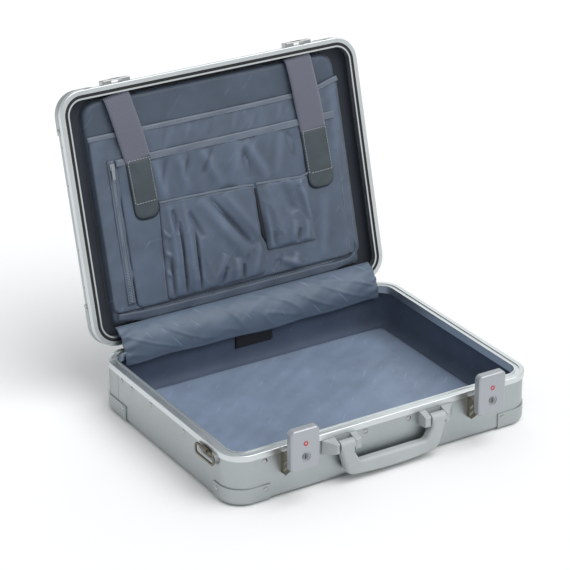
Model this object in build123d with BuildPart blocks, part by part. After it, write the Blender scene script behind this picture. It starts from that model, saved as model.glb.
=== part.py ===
from build123d import *
import os
from math import asin, atan2, cos, degrees, hypot, sin

# Aluminium attache case, standing open.
# Frame: +Z up, +X to the right seen from the front, the front (handle and latches) faces -Y.
# The origin is the centre of the rest face, so the corner caps stand on z = 0.
# All sizes are in millimetres.

# ---------------------------------------------------------------- driving dimensions
CASE_WIDTH = 460.0
CASE_DEPTH = 345.0
CORNER_RADIUS = 33.0
BASE_TOP = 71.0          # parting face of the base's frame
LID_HEIGHT = 22.5        # parting face of the lid's frame to its outer skin
PARTING_GAP = 0.5        # gap between the two frames when closed
OPEN_ANGLE = 105.0       # the lid leans back on its hinge stop
SHEET = 1.5              # aluminium sheet
PROUD = 1.5              # frame lips and corner caps stand this far outside the sheet

# Side bands and skin panels
BAND_EDGE_RADIUS = 5.5
FLANGE = 16.0            # turned-in flange of a side band, which carries the skin panel
PANEL_INSET = PROUD + BAND_EDGE_RADIUS + 0.5
FIELD_INSET = PROUD + FLANGE + 0.5  # pressed field of the bottom panel, inside the flange
FIELD_DROP = 0.5         # the field stands this far below the flange
SEAM_Y = 122.0           # where the base's band is joined on its two ends
SEAM_WIDTH = 0.7
SEAM_DEPTH = 0.5

# Frames: outer lip over the band, web, and an inner lip inside the lining
LIP_HEIGHT = 8.0
LIP_ROUND = 1.2          # rounded outer edge of a frame at the parting face
WEB = 4.5
FRAME_WIDTH = 13.4
INNER_LIP = 1.5
INNER_LIP_DROP = 7.0
CHANNEL_FROM = 6.2       # shallow channel in the base's frame, which takes the lid's gasket
CHANNEL_TO = 11.6
CHANNEL_DEPTH = 1.2
LID_FRAME_WIDTH = 12.8
GROOVE_FROM = 6.4        # gasket groove in the lid's frame
GROOVE_TO = 10.6
GROOVE_DEPTH = 2.4
GASKET_SUNK = 0.8
INNER_LIP_RISE = 5.0

# Corner caps
CAP_HEIGHT = 24.0
CAP_FRONT_X = 174.0      # the caps reach this far in along the front and back
CAP_FRONT_Y = -127.6     # front caps, along the ends
CAP_BACK_Y = 101.0       # back caps, along the ends
LID_CAP_RISE = 8.8       # where the lid's caps start above its parting face
LID_CAP_FRONT_Y = -117.5
LID_CAP_BACK_Y = 111.0
CAP_EDGE_RADIUS = PROUD + BAND_EDGE_RADIUS

# Rivets
RIVET_RADIUS = 3.6
RIVET_RISE = 1.5
SHANK_RADIUS = 1.6
SHANK_LENGTH = 3.2
SMALL_RIVET_RADIUS = 1.7
SMALL_RIVET_RISE = 0.7
SMALL_SHANK_RADIUS = 0.8
SMALL_SHANK_LENGTH = 2.0

# Lining
LINING_INSET = 5.0
LINING = 2.5
FLOOR_Z = 4.7
PAD_INSET = 21.0
PAD_THICKNESS = 3.0

# Hinge, just behind the back face of the frames
KNUCKLE_RADIUS = 2.4
HINGE_Y = CASE_DEPTH / 2 + 2.6
HINGE_Z = BASE_TOP + PARTING_GAP / 2
HINGE_LENGTH = 376.0
KNUCKLE_COUNT = 15
KNUCKLE_GAP = 0.3
HINGE_PIN_RADIUS = 1.2
LEAF = 1.0
LEAF_NEAR = 2.65         # leaf edge nearest the pin line
LEAF_FAR = 8.0
RUNNING = 0.05           # radial clearance of a pin in its hole

# Latches, one each side of the handle; the open cover stands off the front
LATCH_X = 141.0
TRAVEL_IN = 8.0          # the cover moves this far towards the wall as it closes
TRAVEL_DOWN = 10.0
COVER_WIDTH = 41.5
COVER_BOTTOM = 47.0
COVER_TOP = 104.0
COVER_BACK = 19.0        # back edge of the open cover, out from the front face
COVER_DEPTH = 10.5
COVER_WALL = 1.8
BRACKET_HALF = 17.0
BRACKET_BOTTOM = 33.5
BRACKET_TOP = 62.5
CHEEK_X = 15.0           # inner face of the bracket's cheeks
CHEEK_THICKNESS = 1.5
CHEEK_DEPTH = 19.4
CHEEK_CUT = 11.0         # lower outer corner of a cheek, cut away
GUIDE_PIN_RADIUS = 1.5
GUIDE_OUT = 12.5         # open place of the guide pins, out from the front face
GUIDE_HEIGHTS = (57.5, 48.5)
ARM_X = 12.9             # inner face of the carrier's arms
ARM_THICKNESS = 1.5
KEY_Z = 66.3
KEY_DISH_RADIUS = 7.0    # shallow dish round the key
KEY_DISH = 0.9
EMBLEM_Z = 84.5
CYLINDER_RADIUS = 4.5
CAM_REACH = 16.3
CAM_OUT = 24.4
CAM_THICKNESS = 1.5
CLAW_Z = 87.0
CLAW_TIP_OUT = 10.0
CLAW_THICKNESS = 2.5
CLAW_HALF = 6.0

# Strikes on the lid's front, as heights above its parting face
STRIKE_HALF = 20.5
STRIKE_FROM = 1.5
STRIKE_TO = 15.0
STRIKE_PROUD = 5.5
STRIKE_BRIDGE = 1.5
SLOT_HALF = 8.0
SLOT_FROM = 5.3
SLOT_TO = 13.8

# Handle and its two brackets
PIVOT_OUT = 9.5
PIVOT_Z = 53.5
HANDLE_PIN_RADIUS = 2.5
HANDLE_THICKNESS = 14.0
ARM_INNER = 58.5
ARM_OUTER = 79.5
GRIP_OUTER = 69.0        # lower corners of the handle, before rounding
GRIP_END_Z = 11.0
GRIP_BOTTOM = 6.0
GRIP_TOP = 27.5
ARM_BEND_Z = 42.0        # below this the arms lean in towards the grip
GRIP_HALF = 50.0
EAR_FROM = 48.5
EAR_TO = 57.5
WEDGE_FROM = 80.6
WEDGE_NOSE = 85.0
WEDGE_TO = 99.0
EAR_OUT = 14.0
EAR_BOTTOM = 43.0
EAR_TOP = 62.6

# Shoulder-strap rings on the two ends
RING_Y = -112.5
RING_SPAN = 44.0         # between the wire's centre lines
RING_DROP = 14.0
RING_WIRE = 1.5
RING_CORNER = 5.0
RING_Z = 62.0
RING_OUT = 3.1           # pivot line, out from the frame's outer face
ANCHOR_TUBE = 3.0
ANCHOR_HALF = 9.0
ANCHOR_FOOT_Z = 52.5

# Soft fittings of the lid: heights below its parting face, distances from its front edge
PANEL_FACE = 7.0
POCKET_FACE = 5.8
FILE_FACE = 4.6
TAPE_FACE = 3.6
SMALL_POCKET_FACE = 3.1
STRAP_FACE = 1.3
STRAP_BACK = 2.9

PAST = 1.0               # a cut runs this far past the face it opens
LIP_GAP = 0.1            # fittings stand clear of the frame's lip by this
HALF_WIDTH = CASE_WIDTH / 2
HALF_DEPTH = CASE_DEPTH / 2
LID_BOTTOM = BASE_TOP + PARTING_GAP
LID_TOP = LID_BOTTOM + LID_HEIGHT
BAND_TOP = BASE_TOP - WEB

os.makedirs("parts", exist_ok=True)


# ---------------------------------------------------------------- helpers
SWING = Pos(0, HINGE_Y, HINGE_Z) * Rot(X=-OPEN_ANGLE) * Pos(0, -HINGE_Y, -HINGE_Z)


def opened(plane):
    """The same plane, carried by the lid from closed to open about the hinge line."""
    return Plane(SWING * plane.location)


def level(z):
    """Horizontal plane of the base at height z."""
    return Plane.XY.offset(z)


def lid_level(rise):
    """Plane of the lid, rise above its parting face when closed."""
    return opened(Plane.XY.offset(LID_BOTTOM + rise))


def front(out):
    """Plane parallel to the front, out in front of the frame's face; its y is the height."""
    return Plane.XZ.offset(HALF_DEPTH + out)


def end(out):
    """Plane parallel to the right end, out from the frame's face; x is y and y is the height."""
    return Plane.YZ.offset(HALF_WIDTH + out)


LID_OUTWARD = Axis((0, 0, 0), tuple(lid_level(0).z_dir))


def outline(inset, plane):
    """Plan of the case, drawn inset from its outermost face."""
    with BuildSketch(plane) as face:
        RectangleRounded(CASE_WIDTH - 2 * inset, CASE_DEPTH - 2 * inset, CORNER_RADIUS - inset)
    return face.sketch


def ring(outer_inset, inner_inset, plane):
    """Closed band of the case's plan between two insets."""
    with BuildSketch(plane) as face:
        add(outline(outer_inset, Plane.XY))
        add(outline(inner_inset, Plane.XY), mode=Mode.SUBTRACT)
    return face.sketch


def block(x_from, x_to, y_from, y_to, plane, radius=0.0):
    """Rectangle given by its edges on a plane, with square or rounded corners."""
    with BuildSketch(plane) as face:
        with Locations(((x_from + x_to) / 2, (y_from + y_to) / 2)):
            if radius > 0:
                RectangleRounded(abs(x_to - x_from), abs(y_to - y_from), radius)
            else:
                Rectangle(abs(x_to - x_from), abs(y_to - y_from))
    return face.sketch


def disc(x, y, radius, plane):
    """Circle on a plane."""
    with BuildSketch(plane) as face:
        with Locations((x, y)):
            Circle(radius)
    return face.sketch


def shape(points, plane):
    """Closed outline through points on a plane."""
    with BuildSketch(plane) as face:
        with BuildLine():
            Polyline(*points, close=True)
        make_face()
    return face.sketch


def from_front(x, v):
    """Plan point of the lid from its distance to the lid's front edge."""
    return (x, v - HALF_DEPTH)


def rivet(radius, rise, shank_radius, shank_length):
    """Domed rivet seated on z = 0, with its shank below."""
    rim = rise * 0.2
    dome = (radius**2 + (rise - rim) ** 2) / (2 * (rise - rim))
    half = asin(radius / dome) / 2
    with BuildPart() as piece:
        with BuildSketch(Plane.XZ):
            with BuildLine():
                Polyline(
                    (0, rise),
                    (0, -shank_length),
                    (shank_radius, -shank_length),
                    (shank_radius, 0),
                    (radius, 0),
                    (radius, rim),
                )
                ThreePointArc(
                    (radius, rim),
                    (dome * sin(half), rise - dome * (1 - cos(half))),
                    (0, rise),
                )
            make_face()
        revolve(axis=Axis.Z)
    return piece


def group(piece, places):
    """Copies of one fastener at its places, as one node."""
    with BuildPart() as pieces:
        for place in places:
            add(piece.part.moved(place))
    return pieces


def spots(plane, points):
    """Places on a plane, looking out of it."""
    return [plane.location * Pos(x, y, 0) for x, y in points]


def both_ends(plane, points):
    """Places on the right end and their mirror images on the left end."""
    right = spots(plane, points)
    out = plane.origin.X
    left_plane = Plane(origin=(-out, 0, 0), x_dir=(0, -1, 0), z_dir=(-1, 0, 0))
    left = spots(left_plane, [(-y, z) for y, z in points])
    return right + left


def moved(piece, offset):
    """The same piece built elsewhere along the case."""
    with BuildPart() as other:
        add(piece.part.moved(Pos(offset, 0, 0)))
    return other


def mirrored(piece):
    """The same piece on the other side of the case's middle plane."""
    with BuildPart() as other:
        add(piece.part.mirror(Plane.YZ))
    return other


def finish(piece, name):
    """Label a finished piece and write it."""
    piece.part.label = name
    export_step(piece.part, f"parts/{name}.step")


# ---------------------------------------------------------------- rivets of bands and caps
ROUND_RIVET = rivet(RIVET_RADIUS, RIVET_RISE, SHANK_RADIUS, SHANK_LENGTH)
SMALL_RIVET = rivet(SMALL_RIVET_RADIUS, SMALL_RIVET_RISE, SMALL_SHANK_RADIUS, SMALL_SHANK_LENGTH)

BAND_RIVET_Z = 57.2
FRONT_RIVETS = [(x, BAND_RIVET_Z) for x in (-181.0, -32.7, 32.7, 181.0)]
END_RIVETS = [(y, BAND_RIVET_Z) for y in (112.5, 85.2, 33.8, -51.3)]
CAP_RIVETS = [(x, 18.0) for x in (-181.0, 181.0)]
CAP_END_RIVETS = [(108.5, 18.5), (-135.0, 16.0)]
base_rivets = group(
    ROUND_RIVET,
    spots(front(-PROUD), FRONT_RIVETS)
    + both_ends(end(-PROUD), END_RIVETS)
    + spots(front(0), CAP_RIVETS)
    + both_ends(end(0), CAP_END_RIVETS),
)
finish(base_rivets, "base_rivets")

LID_END_RIVETS = [(v - HALF_DEPTH, LID_BOTTOM + 13.0) for v in (73.0, 124.0, 210.5, 262.0)]
LID_CAP_RIVETS = [(49.0 - HALF_DEPTH, LID_BOTTOM + 15.0), (289.0 - HALF_DEPTH, LID_BOTTOM + 13.5)]
LID_FRONT_RIVETS = [(x, LID_BOTTOM + 4.2) for x in (-184.0, 184.0)]
lid_rivets = group(
    ROUND_RIVET,
    [
        SWING * place
        for place in both_ends(end(-PROUD), LID_END_RIVETS)
        + both_ends(end(0), LID_CAP_RIVETS)
        + spots(front(0), LID_FRONT_RIVETS)
    ],
)
finish(lid_rivets, "lid_rivets")

SCREW_SPOTS = [(-8.0, 42.0), (8.0, 42.0)]
SCREW_RADIUS = 2.6
SCREW_HEAD = 1.4
SCREW_ROUND = 0.6
SCREW_SHANK = 3.4
SCREW_SHANK_RADIUS = 1.3
SLIT_HALF = 0.35
SLIT_FLOOR = 0.8
with BuildPart() as screw:
    extrude(disc(0, 0, SCREW_RADIUS, Plane.XY), amount=SCREW_HEAD)
    fillet(screw.faces().sort_by(Axis.Z)[-1].edges(), SCREW_ROUND)
    extrude(disc(0, 0, SCREW_SHANK_RADIUS, Plane.XY.offset(-SCREW_SHANK)), amount=SCREW_SHANK)
    extrude(
        block(-SCREW_RADIUS, SCREW_RADIUS, -SLIT_HALF, SLIT_HALF, Plane.XY.offset(SLIT_FLOOR)),
        amount=SCREW_HEAD,
        mode=Mode.SUBTRACT,
    )
bracket_screws = group(
    screw, spots(front(0.5), [(x + side * LATCH_X, z) for x, z in SCREW_SPOTS for side in (-1, 1)])
)
finish(bracket_screws, "latch_bracket_screws")

RIVET_STEPS = 9
leaf_face = Plane(origin=(0, HALF_DEPTH + LEAF, 0), x_dir=(-1, 0, 0), z_dir=(0, 1, 0))
hinge_xs = [(index - (RIVET_STEPS - 1) / 2) * HINGE_LENGTH / RIVET_STEPS for index in range(RIVET_STEPS)]
leaf_middle = (LEAF_NEAR + LEAF_FAR) / 2
hinge_rivets_base = group(SMALL_RIVET, spots(leaf_face, [(x, HINGE_Z - leaf_middle) for x in hinge_xs]))
upper_spots = spots(leaf_face, [(x, HINGE_Z + leaf_middle) for x in hinge_xs])
hinge_rivets_lid = group(SMALL_RIVET, [SWING * place for place in upper_spots])
finish(hinge_rivets_base, "hinge_rivets_base")
finish(hinge_rivets_lid, "hinge_rivets_lid")

# ---------------------------------------------------------------- base: shell, frame, caps
with BuildPart() as base_side_band:
    extrude(outline(PROUD, level(PROUD)), amount=BAND_TOP - PROUD)
    fillet(base_side_band.faces().sort_by(Axis.Z)[0].edges(), BAND_EDGE_RADIUS)
    offset(amount=-SHEET, openings=base_side_band.faces().sort_by(Axis.Z)[-1])
    extrude(outline(PROUD + FLANGE, level(PROUD)), amount=SHEET, mode=Mode.SUBTRACT)
    for side in (-1, 1):
        wall_x = side * (HALF_WIDTH - PROUD)
        extrude(
            block(wall_x - SEAM_DEPTH, wall_x + SEAM_DEPTH, SEAM_Y, SEAM_Y + SEAM_WIDTH, level(CAP_HEIGHT)),
            amount=BAND_TOP - CAP_HEIGHT,
            mode=Mode.SUBTRACT,
        )
    add(base_rivets.part, mode=Mode.SUBTRACT)
    add(bracket_screws.part, mode=Mode.SUBTRACT)
finish(base_side_band, "base_side_band")

with BuildPart() as base_bottom_panel:
    extrude(outline(PANEL_INSET, level(PROUD + SHEET)), amount=SHEET)
    extrude(outline(FIELD_INSET, level(PROUD - FIELD_DROP)), amount=SHEET + FIELD_DROP)
    extrude(
        outline(FIELD_INSET + SHEET, level(PROUD - FIELD_DROP + SHEET)),
        amount=SHEET + FIELD_DROP,
        mode=Mode.SUBTRACT,
    )
finish(base_bottom_panel, "base_bottom_panel")

with BuildPart() as base_rim_frame:
    extrude(outline(0, level(BAND_TOP)), amount=WEB)
    fillet(base_rim_frame.faces().sort_by(Axis.Z)[-1].edges(), LIP_ROUND)
    extrude(outline(FRAME_WIDTH, level(BAND_TOP)), amount=WEB, mode=Mode.SUBTRACT)
    extrude(ring(0, PROUD, level(BASE_TOP - LIP_HEIGHT)), amount=LIP_HEIGHT - WEB)
    extrude(
        ring(FRAME_WIDTH - INNER_LIP, FRAME_WIDTH, level(BAND_TOP - INNER_LIP_DROP)),
        amount=INNER_LIP_DROP,
    )
    extrude(
        ring(CHANNEL_FROM, CHANNEL_TO, level(BASE_TOP - CHANNEL_DEPTH)),
        amount=CHANNEL_DEPTH,
        mode=Mode.SUBTRACT,
    )
    add(hinge_rivets_base.part, mode=Mode.SUBTRACT)
finish(base_rim_frame, "base_rim_frame")


def cap_space(side, y_edge, z_from, z_to, swing=False):
    """Block that holds one corner cap, from the corner to the cap's two straight edges."""
    far = 20.0
    y_far = (HALF_DEPTH + far) * (1 if y_edge > 0 else -1)
    plane = level(z_from)
    if swing:
        plane = opened(plane)
    with BuildPart() as space:
        extrude(
            block(side * CAP_FRONT_X, side * (HALF_WIDTH + far), y_edge, y_far, plane),
            amount=z_to - z_from,
        )
    return space


with BuildPart() as base_cap_ring:
    extrude(outline(0, level(0)), amount=CAP_HEIGHT)
    fillet(base_cap_ring.faces().sort_by(Axis.Z)[0].edges(), CAP_EDGE_RADIUS)
    with BuildPart(mode=Mode.SUBTRACT) as inside:
        extrude(outline(PROUD, level(PROUD)), amount=CAP_HEIGHT)
        fillet(inside.faces().sort_by(Axis.Z)[0].edges(), BAND_EDGE_RADIUS)
    extrude(outline(PROUD + FLANGE, level(0)), amount=CAP_HEIGHT, mode=Mode.SUBTRACT)

for side, side_name in ((-1, "left"), (1, "right")):
    for y_edge, end_name in ((CAP_FRONT_Y, "front"), (CAP_BACK_Y, "back")):
        with BuildPart() as cap:
            add(base_cap_ring.part)
            add(cap_space(side, y_edge, -PAST, CAP_HEIGHT + PAST).part, mode=Mode.INTERSECT)
            add(base_rivets.part, mode=Mode.SUBTRACT)
        finish(cap, f"base_corner_cap_{end_name}_{side_name}")

# ---------------------------------------------------------------- base: lining
LINING_GAP = 0.3
LINING_CORNER = 6.0
PAD_ROUND = 1.5
with BuildPart() as base_lining:
    extrude(outline(LINING_INSET, level(FLOOR_Z)), amount=BAND_TOP - FLOOR_Z - LINING_GAP)
    fillet(base_lining.faces().sort_by(Axis.Z)[0].edges(), LINING_CORNER)
    offset(amount=-LINING, openings=base_lining.faces().sort_by(Axis.Z)[-1])
finish(base_lining, "base_lining")

with BuildPart() as base_floor_pad:
    extrude(outline(PAD_INSET, level(FLOOR_Z + LINING)), amount=PAD_THICKNESS)
    fillet(base_floor_pad.faces().sort_by(Axis.Z)[-1].edges(), PAD_ROUND)
finish(base_floor_pad, "base_floor_pad")

LABEL_X = (-25.0, 36.0)
LABEL_Z = (28.0, 47.0)
LABEL_THICKNESS = 0.5
LABEL_CORNER = 0.6
with BuildPart() as maker_label:
    extrude(
        block(*LABEL_X, *LABEL_Z, Plane.XZ.offset(LINING_INSET + LINING - HALF_DEPTH), LABEL_CORNER),
        amount=LABEL_THICKNESS,
    )
finish(maker_label, "maker_label")

# ---------------------------------------------------------------- handle
EAR_SLOPE = 4.0
EAR_LEDGE = 1.0
EAR_TOE = 2.0
BRACKET_PLATE = 2.0
NOSE_ROUND = 1.4
PIN_RECESS = 1.5
PIN_REACH = 2.5
pin_from = EAR_FROM + PIN_RECESS
pin_length = WEDGE_FROM + PIN_REACH - pin_from


def ear_profile(x, plane_out=EAR_OUT):
    """Side view of a bracket ear, with its top sloping down away from the wall."""
    points = (
        (-HALF_DEPTH + PROUD, EAR_BOTTOM),
        (-HALF_DEPTH + PROUD, EAR_TOP),
        (-HALF_DEPTH - EAR_LEDGE, EAR_TOP),
        (-HALF_DEPTH - plane_out, EAR_TOP - EAR_SLOPE),
        (-HALF_DEPTH - plane_out, EAR_BOTTOM + EAR_TOE),
    )
    return shape(points, Plane.YZ.offset(x))


with BuildPart() as handle_bracket_right:
    extrude(block(EAR_FROM, WEDGE_TO, EAR_BOTTOM, EAR_TOP, front(-PROUD)), amount=BRACKET_PLATE)
    extrude(ear_profile(EAR_FROM), amount=EAR_TO - EAR_FROM)
    extrude(ear_profile(WEDGE_FROM), amount=WEDGE_TO - WEDGE_FROM)
    wedge = (
        (WEDGE_NOSE, -HALF_DEPTH - EAR_OUT - PAST),
        (WEDGE_NOSE, -HALF_DEPTH - EAR_OUT),
        (WEDGE_TO, -HALF_DEPTH - EAR_LEDGE),
        (WEDGE_TO + PAST, -HALF_DEPTH - EAR_LEDGE),
        (WEDGE_TO + PAST, -HALF_DEPTH - EAR_OUT - PAST),
    )
    extrude(
        shape(wedge, level(EAR_BOTTOM - PAST)),
        amount=EAR_TOP - EAR_BOTTOM + 2 * PAST,
        mode=Mode.SUBTRACT,
    )
    nose = [
        edge
        for edge in handle_bracket_right.edges()
        if edge.center().Y < -HALF_DEPTH - EAR_OUT + 0.05
    ]
    fillet(nose, NOSE_ROUND)
    extrude(
        disc(-HALF_DEPTH - PIVOT_OUT, PIVOT_Z, HANDLE_PIN_RADIUS, Plane.YZ.offset(pin_from)),
        amount=pin_length,
        mode=Mode.SUBTRACT,
    )
finish(handle_bracket_right, "handle_bracket_right")
finish(mirrored(handle_bracket_right), "handle_bracket_left")

with BuildPart() as handle_pins:
    for side in (-1, 1):
        extrude(
            disc(-HALF_DEPTH - PIVOT_OUT, PIVOT_Z, HANDLE_PIN_RADIUS, Plane.YZ.offset(side * pin_from)),
            amount=side * pin_length,
        )
finish(handle_pins, "handle_pins")

GRIP_CORNER = 14.0
CROOK_RADIUS = 7.0
HANDLE_ROUND = 4.5
handle_back = PIVOT_OUT - HANDLE_THICKNESS / 2
with BuildPart() as handle:
    with BuildSketch(front(handle_back)) as loop:
        with BuildLine():
            ThreePointArc((-GRIP_OUTER, GRIP_END_Z), (0, GRIP_BOTTOM), (GRIP_OUTER, GRIP_END_Z))
            Polyline(
                (-GRIP_OUTER, GRIP_END_Z),
                (-ARM_OUTER, PIVOT_Z - HANDLE_THICKNESS / 2),
                (-ARM_OUTER, PIVOT_Z),
                (-ARM_INNER, PIVOT_Z),
                (-ARM_INNER, ARM_BEND_Z),
                (-GRIP_HALF, GRIP_TOP),
                (GRIP_HALF, GRIP_TOP),
                (ARM_INNER, ARM_BEND_Z),
                (ARM_INNER, PIVOT_Z),
                (ARM_OUTER, PIVOT_Z),
                (ARM_OUTER, PIVOT_Z - HANDLE_THICKNESS / 2),
                (GRIP_OUTER, GRIP_END_Z),
            )
        make_face()
        fillet([v for v in loop.vertices() if abs(v.Y - GRIP_END_Z) < 0.1], GRIP_CORNER)
        fillet([v for v in loop.vertices() if abs(v.Y - GRIP_TOP) < 0.1], CROOK_RADIUS)
    extrude(amount=HANDLE_THICKNESS)
    faces_out = [
        edge
        for edge in handle.edges()
        if edge.bounding_box().size.Y < 0.01 and edge.center().Z < PIVOT_Z - 0.1
    ]
    fillet(faces_out, HANDLE_ROUND)
    for side in (-1, 1):
        barrel_plane = Plane.YZ.offset(side * ARM_INNER)
        extrude(
            disc(-HALF_DEPTH - PIVOT_OUT, PIVOT_Z, HANDLE_THICKNESS / 2, barrel_plane),
            amount=side * (ARM_OUTER - ARM_INNER),
        )
        extrude(
            disc(-HALF_DEPTH - PIVOT_OUT, PIVOT_Z, HANDLE_PIN_RADIUS + RUNNING, barrel_plane),
            amount=side * (ARM_OUTER - ARM_INNER),
            mode=Mode.SUBTRACT,
        )
finish(handle, "handle")

# ---------------------------------------------------------------- latches, built on the middle
SLOT_LENGTH = hypot(TRAVEL_IN, TRAVEL_DOWN)
SLOT_ANGLE = degrees(atan2(TRAVEL_DOWN, -TRAVEL_IN))
LOCK_NOTCH = (16.1, 18.2)
LOCK_NOTCH_Z = 53.4
BRACKET_CORNER = 1.5
CHEEK_ROUND = 3.0
NOTCHED_ROUND = 1.0      # upper corner of the cheek that has the lock's notch
with BuildPart() as latch_bracket:
    extrude(
        block(-BRACKET_HALF, BRACKET_HALF, BRACKET_BOTTOM, BRACKET_TOP, front(-PROUD), BRACKET_CORNER),
        amount=BRACKET_PLATE,
    )
    for side in (-1, 1):
        cheek_plane = Plane.YZ.offset(CHEEK_X if side > 0 else -CHEEK_X - CHEEK_THICKNESS)
        with BuildSketch(cheek_plane) as cheek:
            middle_out = (CHEEK_DEPTH - PROUD) / 2
            with Locations((-HALF_DEPTH - middle_out, (BRACKET_BOTTOM + 1 + BRACKET_TOP) / 2)):
                Rectangle(CHEEK_DEPTH + PROUD, BRACKET_TOP - BRACKET_BOTTOM - 1)
            chamfer(cheek.vertices().sort_by(Axis.Y)[:2].sort_by(Axis.X)[0], CHEEK_CUT)
            upper_corner = cheek.vertices().sort_by(Axis.Y)[-2:].sort_by(Axis.X)[0]
            fillet(upper_corner, CHEEK_ROUND if side < 0 else NOTCHED_ROUND)
            for height in GUIDE_HEIGHTS:
                mid_y = -HALF_DEPTH - GUIDE_OUT + TRAVEL_IN / 2
                with Locations((mid_y, height - TRAVEL_DOWN / 2)):
                    SlotCenterToCenter(
                        SLOT_LENGTH,
                        2 * (GUIDE_PIN_RADIUS + RUNNING),
                        rotation=SLOT_ANGLE,
                        mode=Mode.SUBTRACT,
                    )
            if side > 0:
                add(
                    block(
                        -HALF_DEPTH - LOCK_NOTCH[1],
                        -HALF_DEPTH - LOCK_NOTCH[0],
                        LOCK_NOTCH_Z,
                        BRACKET_TOP + PAST,
                        Plane.XY,
                    ),
                    mode=Mode.SUBTRACT,
                )
        extrude(amount=CHEEK_THICKNESS)

for side, side_name in ((-1, "left"), (1, "right")):
    with BuildPart() as bracket:
        add(latch_bracket.part.moved(Pos(side * LATCH_X, 0, 0)))
        add(bracket_screws.part, mode=Mode.SUBTRACT)
    finish(bracket, f"latch_bracket_{side_name}")

COVER_CORNER = 6.0
COVER_ROUND = 3.0
MOUTH_HALF = 17.6        # opening in the cover's lower edge, for the arms
MOUTH_HEIGHT = 4.0
half_cover = COVER_WIDTH / 2
with BuildPart() as latch_cover:
    extrude(
        block(-half_cover, half_cover, COVER_BOTTOM, COVER_TOP, front(COVER_BACK), COVER_CORNER),
        amount=COVER_DEPTH,
    )
    fillet(latch_cover.faces().sort_by(Axis.Y)[0].edges(), COVER_ROUND)
    extrude(
        block(
            -half_cover + COVER_WALL,
            half_cover - COVER_WALL,
            COVER_BOTTOM + COVER_WALL,
            COVER_TOP - COVER_WALL,
            front(COVER_BACK),
            COVER_CORNER - COVER_WALL,
        ),
        amount=COVER_DEPTH - COVER_WALL,
        mode=Mode.SUBTRACT,
    )
    extrude(
        block(
            -MOUTH_HALF,
            MOUTH_HALF,
            COVER_BOTTOM - PAST,
            COVER_BOTTOM + COVER_WALL + MOUTH_HEIGHT,
            front(COVER_BACK),
        ),
        amount=COVER_DEPTH - COVER_WALL,
        mode=Mode.SUBTRACT,
    )
    extrude(
        disc(0, KEY_Z, KEY_DISH_RADIUS, front(COVER_BACK + COVER_DEPTH - KEY_DISH)),
        amount=KEY_DISH,
        mode=Mode.SUBTRACT,
    )
    extrude(
        disc(0, KEY_Z, CYLINDER_RADIUS + RUNNING, front(COVER_BACK)),
        amount=COVER_DEPTH,
        mode=Mode.SUBTRACT,
    )
cover_inside = COVER_BACK + COVER_DEPTH - COVER_WALL

PLATE = 1.5
PLATE_BOTTOM = 50.0
PLATE_TOP = 98.0
ARM_TOP = 61.0
ARM_BOTTOM = 45.5
ARM_BACK = 9.5           # the arms reach from here to ARM_FRONT, out from the front wall
ARM_FRONT = 18.3
PIN_END = 0.5
CLAW_DROP = 1.2
CLAW_TIP = 1.0
with BuildPart() as latch_hook:
    arm_points = (
        (-HALF_DEPTH - ARM_BACK, ARM_BOTTOM),
        (-HALF_DEPTH - ARM_FRONT, ARM_BOTTOM),
        (-HALF_DEPTH - ARM_FRONT, PLATE_BOTTOM),
        (-HALF_DEPTH - cover_inside, PLATE_BOTTOM),
        (-HALF_DEPTH - cover_inside, ARM_TOP),
        (-HALF_DEPTH - ARM_BACK, ARM_TOP),
    )
    for side in (-1, 1):
        arm_plane = Plane.YZ.offset(side * ARM_X)
        extrude(shape(arm_points, arm_plane), amount=side * ARM_THICKNESS)
        for height in GUIDE_HEIGHTS:
            extrude(
                disc(-HALF_DEPTH - GUIDE_OUT, height, GUIDE_PIN_RADIUS, arm_plane),
                amount=side * (CHEEK_X + CHEEK_THICKNESS + PIN_END - ARM_X),
            )
    plate_half = ARM_X + ARM_THICKNESS
    plate_plane = front(cover_inside - PLATE)
    extrude(block(-plate_half, plate_half, PLATE_BOTTOM, PLATE_TOP, plate_plane), amount=PLATE)
    extrude(disc(0, KEY_Z, CYLINDER_RADIUS + RUNNING, plate_plane), amount=PLATE, mode=Mode.SUBTRACT)
    claw_plane = front(CLAW_TIP_OUT)
    extrude(
        block(-CLAW_HALF, CLAW_HALF, CLAW_Z, CLAW_Z + CLAW_THICKNESS, claw_plane),
        amount=cover_inside - CLAW_TIP_OUT,
    )
    extrude(
        block(-CLAW_HALF, CLAW_HALF, CLAW_Z - CLAW_DROP, CLAW_Z + CLAW_TIP, claw_plane),
        amount=CLAW_TIP,
    )

PLUG_SUNK = 0.4
PLUG_OUT = COVER_BACK + COVER_DEPTH - PLUG_SUNK
CAM_HALF = 2.5
KEYWAY_HALF = 0.7
KEYWAY_BELOW = 3.0
KEYWAY_ABOVE = 2.6
KEYWAY_DEPTH = 2.4
with BuildPart() as lock_cylinder:
    extrude(disc(0, KEY_Z, CYLINDER_RADIUS, front(CAM_OUT)), amount=PLUG_OUT - CAM_OUT)
    extrude(block(-CAM_HALF, CAM_HALF, KEY_Z, KEY_Z + CAM_REACH, front(CAM_OUT)), amount=CAM_THICKNESS)
    extrude(
        block(
            -KEYWAY_HALF,
            KEYWAY_HALF,
            KEY_Z - KEYWAY_BELOW,
            KEY_Z + KEYWAY_ABOVE,
            front(PLUG_OUT - KEYWAY_DEPTH),
        ),
        amount=KEYWAY_DEPTH + PAST,
        mode=Mode.SUBTRACT,
    )

EMBLEM_RADIUS = 3.2
EMBLEM_HOLE = 1.8
EMBLEM_PROUD = 0.4
with BuildPart() as lock_emblem:
    with BuildSketch(front(COVER_BACK + COVER_DEPTH)):
        with Locations((0, EMBLEM_Z)):
            Circle(EMBLEM_RADIUS)
            Circle(EMBLEM_HOLE, mode=Mode.SUBTRACT)
    extrude(amount=EMBLEM_PROUD)

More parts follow.
